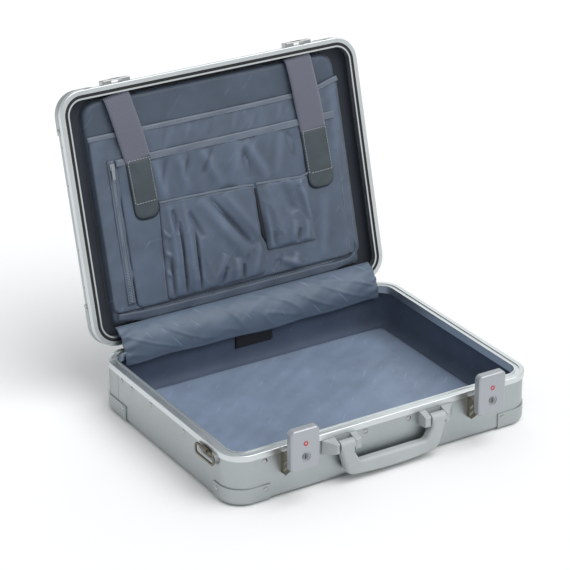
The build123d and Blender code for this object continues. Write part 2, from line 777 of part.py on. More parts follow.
STRIKE_CORNER = 2.0
STRIKE_ROUND = 1.0
with BuildPart() as lid_strike:
    strike_from = LID_BOTTOM + STRIKE_FROM
    strike_to = LID_BOTTOM + STRIKE_TO
    strike_face = opened(front(0))
    extrude(
        block(-STRIKE_HALF, STRIKE_HALF, strike_from, strike_to, strike_face, STRIKE_CORNER),
        amount=STRIKE_PROUD,
    )
    fillet(lid_strike.faces().sort_by(Axis.Z)[-1].edges(), STRIKE_ROUND)
    extrude(
        block(-STRIKE_HALF, STRIKE_HALF, LID_BOTTOM + LIP_HEIGHT + LIP_GAP, strike_to, strike_face),
        amount=-PROUD,
    )
    extrude(
        block(-SLOT_HALF, SLOT_HALF, strike_from - PAST, strike_to + PAST, strike_face),
        amount=STRIKE_PROUD - STRIKE_BRIDGE,
        mode=Mode.SUBTRACT,
    )
    extrude(
        block(-SLOT_HALF, SLOT_HALF, LID_BOTTOM + SLOT_FROM, LID_BOTTOM + SLOT_TO, strike_face),
        amount=STRIKE_PROUD + PAST,
        mode=Mode.SUBTRACT,
    )

for side, side_name in ((-1, "left"), (1, "right")):
    finish(moved(latch_cover, side * LATCH_X), f"latch_cover_{side_name}")
    finish(moved(latch_hook, side * LATCH_X), f"latch_hook_{side_name}")
    finish(moved(lock_cylinder, side * LATCH_X), f"lock_cylinder_{side_name}")
    finish(moved(lock_emblem, side * LATCH_X), f"lock_emblem_{side_name}")
    finish(moved(lid_strike, side * LATCH_X), f"lid_strike_{side_name}")

# ---------------------------------------------------------------- strap rings on the ends
ring_x = HALF_WIDTH + RING_OUT
ring_loop = block(
    RING_Y - RING_SPAN / 2,
    RING_Y + RING_SPAN / 2,
    RING_Z - RING_DROP,
    RING_Z,
    Plane.YZ.offset(ring_x),
    RING_CORNER,
).face().outer_wire()
with BuildPart() as side_ring_right:
    with BuildSketch(Plane(origin=ring_loop @ 0, z_dir=ring_loop % 0)):
        Circle(RING_WIRE)
    sweep(path=ring_loop)
finish(side_ring_right, "side_ring_right")
finish(mirrored(side_ring_right), "side_ring_left")

ANCHOR_CORNER = 2.0
TUBE_SHORT = 1.0         # the tube ends this far inside each end of its foot
SADDLE_SUNK = 0.5
SADDLE_BELOW = 2.6
SADDLE_ABOVE = 0.6
anchor_top = BASE_TOP - LIP_HEIGHT - LIP_GAP
tube_half = ANCHOR_HALF - TUBE_SHORT
with BuildPart() as side_anchor_right:
    extrude(
        block(
            RING_Y - ANCHOR_HALF,
            RING_Y + ANCHOR_HALF,
            ANCHOR_FOOT_Z,
            anchor_top,
            end(-PROUD),
            ANCHOR_CORNER,
        ),
        amount=PROUD,
    )
    tube_plane = Plane.XZ.offset(-RING_Y - tube_half)
    extrude(disc(ring_x, RING_Z, ANCHOR_TUBE, tube_plane), amount=2 * tube_half)
    extrude(
        block(HALF_WIDTH - SADDLE_SUNK, ring_x, RING_Z - SADDLE_BELOW, RING_Z + SADDLE_ABOVE, tube_plane),
        amount=2 * tube_half,
    )
    extrude(
        disc(ring_x, RING_Z, RING_WIRE + RUNNING, tube_plane),
        amount=2 * tube_half,
        mode=Mode.SUBTRACT,
    )
finish(side_anchor_right, "side_anchor_right")
finish(mirrored(side_anchor_right), "side_anchor_left")

# ---------------------------------------------------------------- piano hinge
knuckle_length = HINGE_LENGTH / KNUCKLE_COUNT


def leaf(far, near, first):
    """One hinge leaf with every other knuckle; far and near are heights from the pin line."""
    web_end = KNUCKLE_GAP if near > 0 else -KNUCKLE_GAP
    leaf_back = Plane.XZ.offset(-HALF_DEPTH)
    with BuildPart() as piece:
        extrude(
            block(-HINGE_LENGTH / 2, HINGE_LENGTH / 2, HINGE_Z + near, HINGE_Z + far, leaf_back),
            amount=-LEAF,
        )
        for index in range(first, KNUCKLE_COUNT, 2):
            start = -HINGE_LENGTH / 2 + index * knuckle_length + KNUCKLE_GAP / 2
            length = knuckle_length - KNUCKLE_GAP
            section = Plane.YZ.offset(start)
            extrude(disc(HINGE_Y, HINGE_Z, KNUCKLE_RADIUS, section), amount=length)
            extrude(
                block(HALF_DEPTH, HALF_DEPTH + LEAF, HINGE_Z + web_end, HINGE_Z + near, section),
                amount=length,
            )
        extrude(
            disc(HINGE_Y, HINGE_Z, HINGE_PIN_RADIUS + RUNNING, Plane.YZ.offset(-HINGE_LENGTH / 2 - 1)),
            amount=HINGE_LENGTH + 2,
            mode=Mode.SUBTRACT,
        )
    return piece


with BuildPart() as hinge_pin:
    extrude(
        disc(HINGE_Y, HINGE_Z, HINGE_PIN_RADIUS, Plane.YZ.offset(-HINGE_LENGTH / 2)),
        amount=HINGE_LENGTH,
    )
finish(hinge_pin, "hinge_pin")

with BuildPart() as hinge_leaf_base:
    add(leaf(-LEAF_FAR, -LEAF_NEAR, 0).part)
    add(hinge_rivets_base.part, mode=Mode.SUBTRACT)
finish(hinge_leaf_base, "hinge_leaf_base")

with BuildPart() as hinge_leaf_lid:
    add(leaf(LEAF_FAR, LEAF_NEAR, 1).part.moved(SWING))
    add(hinge_rivets_lid.part, mode=Mode.SUBTRACT)
finish(hinge_leaf_lid, "hinge_leaf_lid")

# ---------------------------------------------------------------- lid: shell, frame, caps
with BuildPart() as lid_side_band:
    extrude(outline(PROUD, lid_level(WEB)), amount=LID_HEIGHT - WEB)
    fillet(lid_side_band.faces().sort_by(LID_OUTWARD)[-1].edges(), BAND_EDGE_RADIUS)
    offset(amount=-SHEET, openings=lid_side_band.faces().sort_by(LID_OUTWARD)[0])
    extrude(outline(PROUD + FLANGE, lid_level(LID_HEIGHT)), amount=-SHEET, mode=Mode.SUBTRACT)
    add(lid_rivets.part, mode=Mode.SUBTRACT)
finish(lid_side_band, "lid_side_band")

with BuildPart() as lid_panel:
    extrude(outline(PANEL_INSET, lid_level(LID_HEIGHT - SHEET)), amount=-SHEET)
finish(lid_panel, "lid_panel")

with BuildPart() as lid_rim_frame:
    extrude(outline(0, lid_level(0)), amount=WEB)
    fillet(lid_rim_frame.faces().sort_by(LID_OUTWARD)[0].edges(), LIP_ROUND)
    extrude(outline(LID_FRAME_WIDTH, lid_level(0)), amount=WEB, mode=Mode.SUBTRACT)
    extrude(ring(0, PROUD, lid_level(WEB)), amount=LIP_HEIGHT - WEB)
    extrude(ring(LID_FRAME_WIDTH - INNER_LIP, LID_FRAME_WIDTH, lid_level(WEB)), amount=INNER_LIP_RISE)
    extrude(ring(GROOVE_FROM, GROOVE_TO, lid_level(0)), amount=GROOVE_DEPTH, mode=Mode.SUBTRACT)
    add(lid_rivets.part, mode=Mode.SUBTRACT)
    add(hinge_rivets_lid.part, mode=Mode.SUBTRACT)
finish(lid_rim_frame, "lid_rim_frame")

with BuildPart() as lid_gasket:
    extrude(
        ring(GROOVE_FROM + 0.1, GROOVE_TO - 0.1, lid_level(GASKET_SUNK)), amount=GROOVE_DEPTH - GASKET_SUNK
    )
finish(lid_gasket, "lid_gasket")

with BuildPart() as lid_cap_ring:
    extrude(outline(0, lid_level(LID_CAP_RISE)), amount=LID_HEIGHT + PROUD - LID_CAP_RISE)
    fillet(lid_cap_ring.faces().sort_by(LID_OUTWARD)[-1].edges(), CAP_EDGE_RADIUS)
    with BuildPart(mode=Mode.SUBTRACT) as lid_inside:
        extrude(outline(PROUD, lid_level(LID_CAP_RISE - 1)), amount=LID_HEIGHT - LID_CAP_RISE + 1)
        fillet(lid_inside.faces().sort_by(LID_OUTWARD)[-1].edges(), BAND_EDGE_RADIUS)
    extrude(outline(PROUD + FLANGE, lid_level(LID_CAP_RISE)), amount=CAP_HEIGHT, mode=Mode.SUBTRACT)

for side, side_name in ((-1, "left"), (1, "right")):
    for y_edge, end_name in ((LID_CAP_FRONT_Y, "front"), (LID_CAP_BACK_Y, "back")):
        with BuildPart() as cap:
            add(lid_cap_ring.part)
            add(cap_space(side, y_edge, LID_BOTTOM, LID_TOP + 10.0, swing=True).part, mode=Mode.INTERSECT)
            add(lid_rivets.part, mode=Mode.SUBTRACT)
        finish(cap, f"lid_corner_cap_{end_name}_{side_name}")

# ---------------------------------------------------------------- lid: lining and organizer
LID_LINING_GAP = 0.2
lining_top = LID_HEIGHT - 2 * SHEET - LID_LINING_GAP
lining_foot = WEB + LINING_GAP
with BuildPart() as lid_lining:
    extrude(outline(LINING_INSET, lid_level(lining_foot)), amount=lining_top - lining_foot)
    offset(amount=-LINING, openings=lid_lining.faces().sort_by(LID_OUTWARD)[0])
finish(lid_lining, "lid_lining")


def cloth(name, points, face, back, radius):
    """Flat cloth piece of the lid between two heights, with its corners rounded."""
    with BuildPart() as piece:
        with BuildSketch(lid_level(face)) as plan:
            add(shape([from_front(x, v) for x, v in points], Plane.XY))
            if radius > 0:
                fillet(plan.vertices(), radius)
        extrude(amount=back - face)
    finish(piece, name)
    return piece


def corners(x_from, x_to, v_from, v_to):
    """Four corners of a rectangle in the lid."""
    return ((x_from, v_from), (x_to, v_from), (x_to, v_to), (x_from, v_to))


cloth("organizer_panel", corners(-198.0, 198.0, 17.0, 322.0), PANEL_FACE, lining_top - LINING - 0.1, 22.0)
cloth("document_pocket", corners(-194.0, 194.0, 64.0, 306.0), POCKET_FACE, PANEL_FACE, 8.0)
cloth("file_pocket", corners(-160.0, 182.0, 100.0, 304.0), FILE_FACE, POCKET_FACE, 10.0)
cloth("organizer_hem", corners(-194.0, 194.0, 307.0, 321.0), FILE_FACE, PANEL_FACE, 2.0)
cloth("zipper_tape", corners(-172.0, -161.0, 100.0, 296.0), TAPE_FACE, POCKET_FACE, 1.5)
cloth(
    "pocket_wide",
    ((-103.0, 166.0), (40.0, 172.0), (40.0, 300.0), (-115.0, 300.0)),
    SMALL_POCKET_FACE,
    FILE_FACE,
    4.0,
)
cloth(
    "pocket_narrow",
    ((43.0, 171.0), (127.0, 178.0), (127.0, 272.0), (43.0, 268.0)),
    SMALL_POCKET_FACE,
    FILE_FACE,
    4.0,
)

STRAPS = (
    ("left", ((-164.0, 17.0), (-125.0, 17.0), (-109.0, 102.0), (-146.0, 102.0)),
     ((-146.0, 102.2), (-109.0, 102.2), (-105.0, 188.0), (-143.0, 188.0))),
    ("right", ((116.0, 17.0), (157.0, 17.0), (167.0, 114.0), (124.0, 114.0)),
     ((124.0, 114.2), (167.0, 114.2), (170.0, 201.0), (127.0, 201.0))),
)
STRAP_ROOT = 2.5
for side_name, webbing, patch in STRAPS:
    with BuildPart() as strap:
        plan = [from_front(x, v) for x, v in webbing]
        extrude(shape(plan, lid_level(STRAP_FACE)), amount=STRAP_BACK - STRAP_FACE)
        near_left, near_right = webbing[:2]
        root = (
            near_left,
            near_right,
            (near_right[0], near_right[1] + STRAP_ROOT),
            (near_left[0], near_left[1] + STRAP_ROOT),
        )
        plan = [from_front(x, v) for x, v in root]
        extrude(shape(plan, lid_level(STRAP_FACE)), amount=PANEL_FACE - STRAP_FACE)
    finish(strap, f"strap_{side_name}")
    cloth(f"strap_end_{side_name}", patch, STRAP_FACE, STRAP_BACK, 0.0)

# Slider of the zip, at the top of its tape, with its pull hanging down.
SLIDER_X = -166.5
SLIDER_V = (104.0, 113.0)
PULL_V = (108.0, 126.0)
SLIDER_HALF = 3.5
SLIDER_FACE = 1.9        # height of the slider's outer face in the lid
SLIDER_THICKNESS = 1.6
SLIDER_CORNER = 1.5
PULL_HALF = 2.2
PULL_FACE = 1.0
PULL_THICKNESS = 1.0
with BuildPart() as zipper_slider:
    slider_y = [v - HALF_DEPTH for v in SLIDER_V]
    pull_y = [v - HALF_DEPTH for v in PULL_V]
    slider_x = (SLIDER_X - SLIDER_HALF, SLIDER_X + SLIDER_HALF)
    pull_x = (SLIDER_X - PULL_HALF, SLIDER_X + PULL_HALF)
    extrude(block(*slider_x, *slider_y, lid_level(SLIDER_FACE), SLIDER_CORNER), amount=SLIDER_THICKNESS)
    extrude(block(*pull_x, *pull_y, lid_level(PULL_FACE), SLIDER_CORNER), amount=PULL_THICKNESS)
finish(zipper_slider, "zipper_slider")

# ---------------------------------------------------------------- hinge curtain
CURTAIN_HALF = 198.0
CURTAIN = 1.0
CURTAIN_BEHIND = 1.2     # the curtain hangs this far in front of the rear frame
CURTAIN_BOTTOM = 50.0
CURTAIN_BEND = 73.0
CURTAIN_BEND_BACK = 73.6
CURTAIN_LEVEL = 1.2      # height of its upper edge in the lid
CURTAIN_V = 323.5
curtain_y = HALF_DEPTH - FRAME_WIDTH - CURTAIN_BEHIND
upper = lid_level(CURTAIN_LEVEL).from_local_coords((0, CURTAIN_V - HALF_DEPTH, 0))
with BuildPart() as hinge_curtain:
    top = (upper.Y, upper.Z)
    points = (
        (curtain_y, CURTAIN_BOTTOM),
        (curtain_y, CURTAIN_BEND),
        (top[0], top[1]),
        (top[0] - CURTAIN, top[1] + CURTAIN),
        (curtain_y - CURTAIN, CURTAIN_BEND_BACK),
        (curtain_y - CURTAIN, CURTAIN_BOTTOM),
    )
    extrude(shape(points, Plane.YZ.offset(-CURTAIN_HALF)), amount=2 * CURTAIN_HALF)
finish(hinge_curtain, "hinge_curtain")
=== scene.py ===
"""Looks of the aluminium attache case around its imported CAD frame."""

import math

import bmesh
import bpy
import numpy as np
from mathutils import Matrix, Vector, noise


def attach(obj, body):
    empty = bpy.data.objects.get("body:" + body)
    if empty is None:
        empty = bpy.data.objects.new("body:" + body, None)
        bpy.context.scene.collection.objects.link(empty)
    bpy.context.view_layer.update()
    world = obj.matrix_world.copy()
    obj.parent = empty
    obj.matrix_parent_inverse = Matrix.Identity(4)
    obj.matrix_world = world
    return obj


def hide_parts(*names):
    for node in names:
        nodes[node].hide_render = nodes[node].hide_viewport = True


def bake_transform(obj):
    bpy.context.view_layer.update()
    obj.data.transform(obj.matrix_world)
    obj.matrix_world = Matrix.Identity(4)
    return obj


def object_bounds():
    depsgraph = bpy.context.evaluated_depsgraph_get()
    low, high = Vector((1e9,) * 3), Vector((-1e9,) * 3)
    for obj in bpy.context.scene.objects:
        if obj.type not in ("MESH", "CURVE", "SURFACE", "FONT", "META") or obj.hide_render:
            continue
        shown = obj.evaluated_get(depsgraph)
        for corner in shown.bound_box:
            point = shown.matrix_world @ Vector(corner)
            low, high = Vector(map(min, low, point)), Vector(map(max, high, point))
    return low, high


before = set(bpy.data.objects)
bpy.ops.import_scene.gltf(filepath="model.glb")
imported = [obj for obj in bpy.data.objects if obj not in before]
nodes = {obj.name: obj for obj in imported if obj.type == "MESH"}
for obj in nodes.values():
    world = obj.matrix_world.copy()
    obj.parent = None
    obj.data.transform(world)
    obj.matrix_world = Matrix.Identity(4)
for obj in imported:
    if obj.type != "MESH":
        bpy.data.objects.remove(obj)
cad_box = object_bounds()
scene = bpy.context.scene
MM = 0.001

# ---------------------------------------------------------------- sizes shared with the CAD, in millimetres
WIDTH, DEPTH, CORNER = 460.0, 345.0, 33.0
HALF_W, HALF_D = WIDTH / 2, DEPTH / 2
LID_BOTTOM = 71.5
HINGE_Y, HINGE_Z = 175.1, 71.25
OPEN = math.radians(105.0)
LINING_INSET = 5.0


def base_point(x, y, z):
    """Point of the base, in metres."""
    return Vector((x, y, z)) * MM


def lid_point(x, v, h):
    """Point of the open lid: v runs back from its front edge, h is the height above its parting face."""
    y = v - HALF_D - HINGE_Y
    z = LID_BOTTOM + h - HINGE_Z
    c, s = math.cos(-OPEN), math.sin(-OPEN)
    return Vector((x, HINGE_Y + y * c - z * s, HINGE_Z + y * s + z * c)) * MM


# ---------------------------------------------------------------- camera and light
def look(position, forward, lens):
    """Camera at a place, looking along a direction."""
    data = bpy.data.cameras.new("camera")
    camera = bpy.data.objects.new("camera", data)
    scene.collection.objects.link(camera)
    camera.location = position
    camera.rotation_euler = Vector(forward).to_track_quat("-Z", "Y").to_euler()
    data.sensor_width = 36.0
    data.lens = lens
    data.clip_end = 50.0
    scene.camera = camera
    return camera


# A camera placed to see the case as the photograph does, in metres and millimetres of lens.
CAMERA_PLACE = (-1.5577, -2.4442, 1.5303)
CAMERA_FORWARD = (0.4770, 0.7714, -0.4213)
LENS = 155.6
look(CAMERA_PLACE, CAMERA_FORWARD, LENS)


def area_light(name, place, target, size, power):
    """Soft rectangular light aimed at a point."""
    data = bpy.data.lights.new(name, "AREA")
    data.shape = "RECTANGLE"
    data.size, data.size_y = size
    data.energy = power
    light = bpy.data.objects.new(name, data)
    scene.collection.objects.link(light)
    light.location = place
    aim = Vector(target) - Vector(place)
    light.rotation_euler = aim.to_track_quat("-Z", "Y").to_euler()
    return light


scene.view_settings.view_transform = "Standard"
world = bpy.data.worlds.new("studio")
scene.world = world
world.use_nodes = True
WORLD_COLOR = (0.98, 0.99, 1.0, 1)
WORLD_STRENGTH = 0.62
background = world.node_tree.nodes["Background"]
background.inputs["Color"].default_value = WORLD_COLOR
background.inputs["Strength"].default_value = WORLD_STRENGTH


def sun_light(name, direction, strength, angle):
    """Distant soft light shining along a direction."""
    data = bpy.data.lights.new(name, "SUN")
    data.energy = strength
    data.angle = math.radians(angle)
    light = bpy.data.objects.new(name, data)
    scene.collection.objects.link(light)
    light.rotation_euler = Vector(direction).to_track_quat("-Z", "Y").to_euler()
    return light


KEY_DIRECTION = (-0.47, 0.64, -1.35)
KEY_STRENGTH, KEY_ANGLE = 1.85, 55
CARD_PLACE, CARD_TARGET = (1.6, 2.6, 1.9), (0, 0, 0.1)
CARD_SIZE, CARD_POWER = (2.6, 1.6), 9
sun_light("key", KEY_DIRECTION, KEY_STRENGTH, KEY_ANGLE)
area_light("card", CARD_PLACE, CARD_TARGET, CARD_SIZE, CARD_POWER)


# ---------------------------------------------------------------- materials
class Shader:
    """Small helper that builds one node material."""

    def __init__(self, name, color, metallic=0.0, roughness=0.5):
        self.material = bpy.data.materials.new(name)
        self.material.use_nodes = True
        self.tree = self.material.node_tree
        self.bsdf = self.tree.nodes["Principled BSDF"]
        self.set("Base Color", (*color, 1))
        self.set("Metallic", metallic)
        self.set("Roughness", roughness)
        self.coords = self.node("ShaderNodeTexCoord")

    def set(self, socket, value):
        self.bsdf.inputs[socket].default_value = value

    def node(self, kind, **inputs):
        item = self.tree.nodes.new(kind)
        for key, value in inputs.items():
            item.inputs[key.replace("_", " ")].default_value = value
        return item

    def link(self, a, b):
        self.tree.links.new(a, b)

    def place(self, scale=(1, 1, 1), rotation=(0, 0, 0), uv=False):
        """Coordinates in metres, scaled and turned."""
        mapping = self.node("ShaderNodeMapping")
        mapping.inputs["Scale"].default_value = scale
        mapping.inputs["Rotation"].default_value = rotation
        self.link(self.coords.outputs["UV" if uv else "Object"], mapping.inputs["Vector"])
        return mapping.outputs["Vector"]

    def noise(self, scale, detail=3.0, where=None, roughness=0.5):
        item = self.node("ShaderNodeTexNoise", Scale=scale, Detail=detail, Roughness=roughness)
        self.link(where or self.place(), item.inputs["Vector"])
        return item.outputs["Fac"]

    def wave(self, scale, where):
        item = self.node("ShaderNodeTexWave", Scale=scale, Distortion=0.0)
        item.wave_profile = "SIN"
        self.link(where, item.inputs["Vector"])
        return item.outputs["Fac"]

    def ramp(self, value, stops):
        """Colours or greys at positions."""
        item = self.node("ShaderNodeValToRGB")
        ramp = item.color_ramp
        while len(ramp.elements) < len(stops):
            ramp.elements.new(0.5)
        for element, (position, color) in zip(ramp.elements, stops):
            element.position = position
            if isinstance(color, (int, float)):
                color = (color, color, color)
            element.color = (*color, 1)
        self.link(value, item.inputs["Fac"])
        return item.outputs["Color"]

    def math(self, operation, a, b):
        item = self.tree.nodes.new("ShaderNodeMath")
        item.operation = operation
        for index, value in enumerate((a, b)):
            if isinstance(value, (int, float)):
                item.inputs[index].default_value = value
            else:
                self.link(value, item.inputs[index])
        return item.outputs["Value"]

    def color(self, output):
        self.link(output, self.bsdf.inputs["Base Color"])

    def rough(self, output):
        self.link(output, self.bsdf.inputs["Roughness"])

    def bump(self, height, strength=0.3, distance=0.0004):
        item = self.node("ShaderNodeBump", Strength=strength, Distance=distance)
        self.link(height, item.inputs["Height"])
        self.link(item.outputs["Normal"], self.bsdf.inputs["Normal"])
        return item


def tone(color, factor):
    """A colour made lighter or darker."""
    return tuple(min(1.0, c * factor) for c in color)


def srgb(r, g, b):
    """Colour given as it looks on a screen."""
    def linear(c):
        c /= 255
        return c / 12.92 if c <= 0.04045 else ((c + 0.055) / 1.055) ** 2.4

    return linear(r), linear(g), linear(b)


def metal(name, color, roughness, grain=(900, 900, 900), spread=0.05, metallic=1.0):
    """Satin metal with a fine grain, soft clouding and faint handling marks."""
    shader = Shader(name, color, metallic, roughness)
    clouds = shader.noise(9.0, 3.0)
    fine = shader.noise(1.0, 2.0, shader.place(grain))
    dark, light = tone(color, 1 - spread / 2), tone(color, 1 + spread / 2)
    shader.color(shader.ramp(clouds, ((0.3, dark), (0.7, light))))
    smears = shader.noise(38.0, 5.0, roughness=0.65)
    mixed = shader.math("ADD", shader.math("MULTIPLY", smears, 0.6), shader.math("MULTIPLY", fine, 0.4))
    shader.rough(shader.ramp(mixed, ((0.3, roughness * 0.86), (0.7, min(1.0, roughness * 1.14)))))
    shader.bump(fine, 0.12, 0.00008)
    return shader.material


STREAK_PITCH = 17.0
STREAK_PATCHES = 52.0
STREAK_LIGHT = 2.1       # the pale creases are this much lighter than the cloth
FOLD_SHADE = 0.2         # painted shade: change of lightness for each millimetre of a fold's height
FOLD_SHADE_LIMITS = (0.3, 1.35)


def fabric(name, color, weave=1800.0, streaks=0.0, uneven=0.14, sheen=0.12, roughness=0.5, slant=-45.0):
    """Plain-woven polyester: crossing threads, slight colour drift, and pale diagonal creases."""
    shader = Shader(name, color, 0.0, roughness)
    drift = shader.noise(14.0, 4.0, roughness=0.6)
    base = shader.ramp(drift, ((0.3, tone(color, 1 - uneven)), (0.7, tone(color, 1 + uneven))))
    flat = shader.place((1, 1, 1), uv=True)
    warp = shader.wave(weave / math.tau, flat)
    turned = shader.place((1, 1, 1), (0, 0, math.pi / 2), uv=True)
    weft = shader.wave(weave / math.tau, turned)
    threads = shader.math("MULTIPLY", warp, weft)
    if streaks > 0:
        slanted = shader.place((1, 1, 1), (0, 0, math.radians(slant)), uv=True)
        lines = shader.ramp(shader.wave(STREAK_PITCH, slanted), ((0.965, 0.0), (1.0, 1.0)))
        broken = shader.place((1, 0.4, 1), (0, 0, math.radians(slant)), uv=True)
        patches = shader.ramp(shader.noise(STREAK_PATCHES, 1.0, broken), ((0.57, 0.0), (0.66, 1.0)))
        mask = shader.math("MULTIPLY", shader.math("MULTIPLY", lines, patches), streaks)
        mix = shader.tree.nodes.new("ShaderNodeMix")
        mix.data_type = "RGBA"
        shader.link(mask, mix.inputs["Factor"])
        shader.link(base, mix.inputs["A"])
        mix.inputs["B"].default_value = (*tone(color, STREAK_LIGHT), 1)
        base = mix.outputs["Result"]
    # painted shade: the bottoms of folds are made darker and their tops lighter than the cloth
    fold = shader.tree.nodes.new("ShaderNodeAttribute")
    fold.attribute_name = "fold"
    deep = shader.math("ADD", shader.math("MULTIPLY", fold.outputs["Fac"], FOLD_SHADE), 1.0)
    darkest, lightest = FOLD_SHADE_LIMITS
    deep = shader.math("MINIMUM", shader.math("MAXIMUM", deep, darkest), lightest)
    scaled = shader.tree.nodes.new("ShaderNodeVectorMath")
    scaled.operation = "SCALE"
    shader.link(base, scaled.inputs[0])
    shader.link(deep, scaled.inputs["Scale"])
    shader.color(scaled.outputs["Vector"])
    shader.set("Sheen Weight", sheen)
    shader.set("Sheen Roughness", 0.4)
    shader.bump(threads, 0.25, 0.0001)
    return shader.material


def twill(name, color):
    """Heavy webbing with a diagonal rib and mottled yarn."""
    shader = Shader(name, color, 0.0, 0.85)
    slanted = shader.place((1, 1, 1), (0, 0, math.radians(45)), uv=True)
    rib = shader.wave(140.0, slanted)
    yarn = shader.noise(1400.0, 2.0, shader.place((1, 0.35, 1), uv=True))
    mottled = shader.math("ADD", shader.math("MULTIPLY", rib, 0.35), shader.math("MULTIPLY", yarn, 0.65))
    shader.color(shader.ramp(mottled, ((0.3, tone(color, 0.72)), (0.7, tone(color, 1.28)))))
    shader.set("Sheen Weight", 0.3)
    shader.bump(mottled, 0.5, 0.0003)
    return shader.material


def leather(name, color):
    """Smooth grained leather, a little worn at its high spots."""
    shader = Shader(name, color, 0.0, 0.5)
    cells = shader.node("ShaderNodeTexVoronoi", Scale=900.0)
    shader.link(shader.place(uv=True), cells.inputs["Vector"])
    wear = shader.noise(60.0, 4.0)
    shader.color(shader.ramp(wear, ((0.3, tone(color, 0.85)), (0.75, tone(color, 1.2)))))
    shader.rough(shader.ramp(wear, ((0.3, 0.42), (0.7, 0.6))))
    shader.bump(cells.outputs["Distance"], 0.25, 0.0002)
    return shader.material


def plastic(name, color, roughness=0.4, speck=0.06):
    """Moulded plastic or paint with a very fine texture."""
    shader = Shader(name, color, 0.0, roughness)
    clouds = shader.noise(20.0, 3.0)
    fine = shader.noise(1600.0, 2.0)
    shader.color(shader.ramp(clouds, ((0.3, tone(color, 1 - speck)), (0.7, tone(color, 1 + speck)))))
    shader.rough(shader.ramp(shader.noise(70.0, 4.0), ((0.3, roughness * 0.85), (0.7, roughness * 1.15))))
    shader.bump(fine, 0.15, 0.0001)
    return shader.material


SHELL = metal("shell_satin", srgb(174, 180, 181), 0.42, (500, 500, 60))
FRAME_METAL = metal("frame_satin", srgb(212, 217, 218), 0.38, (60, 60, 900))
CAP_METAL = metal("cap_satin", srgb(172, 178, 178), 0.40, (500, 500, 500))
STEEL = metal("bright_steel", srgb(176, 178, 178), 0.25)
LOCK_STEEL = metal("lock_steel", srgb(128, 130, 132), 0.3)
NICKEL = metal("satin_silver", srgb(172, 176, 181), 0.46, metallic=0.75)
ZINC = metal("olive_zinc", srgb(132, 128, 115), 0.42, spread=0.35)
ANTIQUE = metal("antique_metal", srgb(122, 117, 106), 0.42, spread=0.4)
HANDLE = plastic("handle_silver", srgb(168, 174, 175), 0.4)
RED = plastic("red_enamel", srgb(190, 44, 46), 0.3)
RUBBER = plastic("black_rubber", srgb(22, 25, 27), 0.6)
LINING = fabric("lining_cloth", srgb(70, 82, 102), streaks=0.3, slant=45.0, roughness=0.78)
LID_LINING = fabric("lid_lining_cloth", srgb(36, 43, 53), roughness=0.7)
FLOOR_CLOTH = fabric("floor_cloth", srgb(118, 133, 155), streaks=0.22, slant=45.0)
ORGANIZER = fabric("organizer_cloth", srgb(80, 92, 109), streaks=0.4)
BOARD = fabric("board_cloth", srgb(66, 78, 94), streaks=0.45)
POCKET = fabric("pocket_cloth", srgb(79, 92, 110), streaks=0.25)
BINDING = fabric("binding_cloth", srgb(97, 107, 121), 1200.0, uneven=0.1)
# painted shade: the gusset's cloth is near black, for the shade in the gap between the pockets
GUSSET_SHADE = fabric("gusset_shade_cloth", srgb(26, 31, 40), roughness=0.8)
CURTAIN = fabric("curtain_cloth", srgb(87, 102, 120), streaks=0.5, slant=40.0)
WEBBING = twill("webbing", srgb(97, 99, 113))
LEATHER = leather("grey_leather", srgb(60, 71, 76))
THREAD = fabric("thread", srgb(150, 156, 164), 3000.0)
PALE_THREAD = fabric("pale_thread", srgb(182, 186, 190), 3000.0)
LABEL = fabric("label_weave", srgb(20, 21, 25), 1500.0, sheen=0.1)
LABEL_EDGE = fabric("label_edge", srgb(70, 72, 80), 1500.0, sheen=0.1)
ZIP_TAPE = fabric("zip_tape", srgb(76, 89, 107), 1500.0)
ZIP_METAL = metal("zip_metal", srgb(158, 164, 172), 0.4)

LOOKS = (
    (("base_side_band", "base_bottom_panel", "lid_side_band", "lid_panel"), SHELL),
    (("base_rim_frame", "lid_rim_frame"), FRAME_METAL),
    (("base_corner_cap", "lid_corner_cap"), CAP_METAL),
    (("handle",), HANDLE),
    (("base_rivets", "lid_rivets", "handle_pins", "hinge_", "latch_bracket_screws"), STEEL),
    (("latch_bracket_left", "latch_bracket_right", "latch_hook"), ZINC),
    (("latch_cover",), NICKEL),
    (("lid_strike",), STEEL),
    (("lock_cylinder",), LOCK_STEEL),
    (("lock_emblem",), RED),
    (("side_",), ANTIQUE),
    (("lid_gasket",), RUBBER),
)


def dress(node, material):
    """Gives a CAD node one material."""
    slots = nodes[node].material_slots
    if not slots:
        nodes[node].data.materials.append(material)
    for slot in slots:
        slot.material = material


for starts, material in LOOKS:
    for node in nodes:
        if node.startswith(starts) and node != "hinge_curtain":
            dress(node, material)


# ---------------------------------------------------------------- mesh helpers
def new_mesh(name, points, faces, material, uvs=None, smooth=True):
    """Object from points in metres and faces, with flat coordinates in metres for its weave."""
    mesh = bpy.data.meshes.new(name)
    mesh.from_pydata([tuple(p) for p in points], [], faces)
    mesh.validate()
    mesh.update()
    if smooth:
        mesh.shade_smooth()
    if uvs is not None:
        layer = mesh.uv_layers.new(name="UVMap")
        flat = np.asarray(uvs, float)
        index = np.empty(len(mesh.loops), int)
        mesh.loops.foreach_get("vertex_index", index)
        layer.data.foreach_set("uv", flat[index].ravel())
    mesh.materials.append(material)
    item = bpy.data.objects.new(name, mesh)
    scene.collection.objects.link(item)
    return item


def crowd(value):
    """Repeatable noise between -1 and 1 at many points."""
    return np.array([noise.noise(Vector(p)) for p in value])


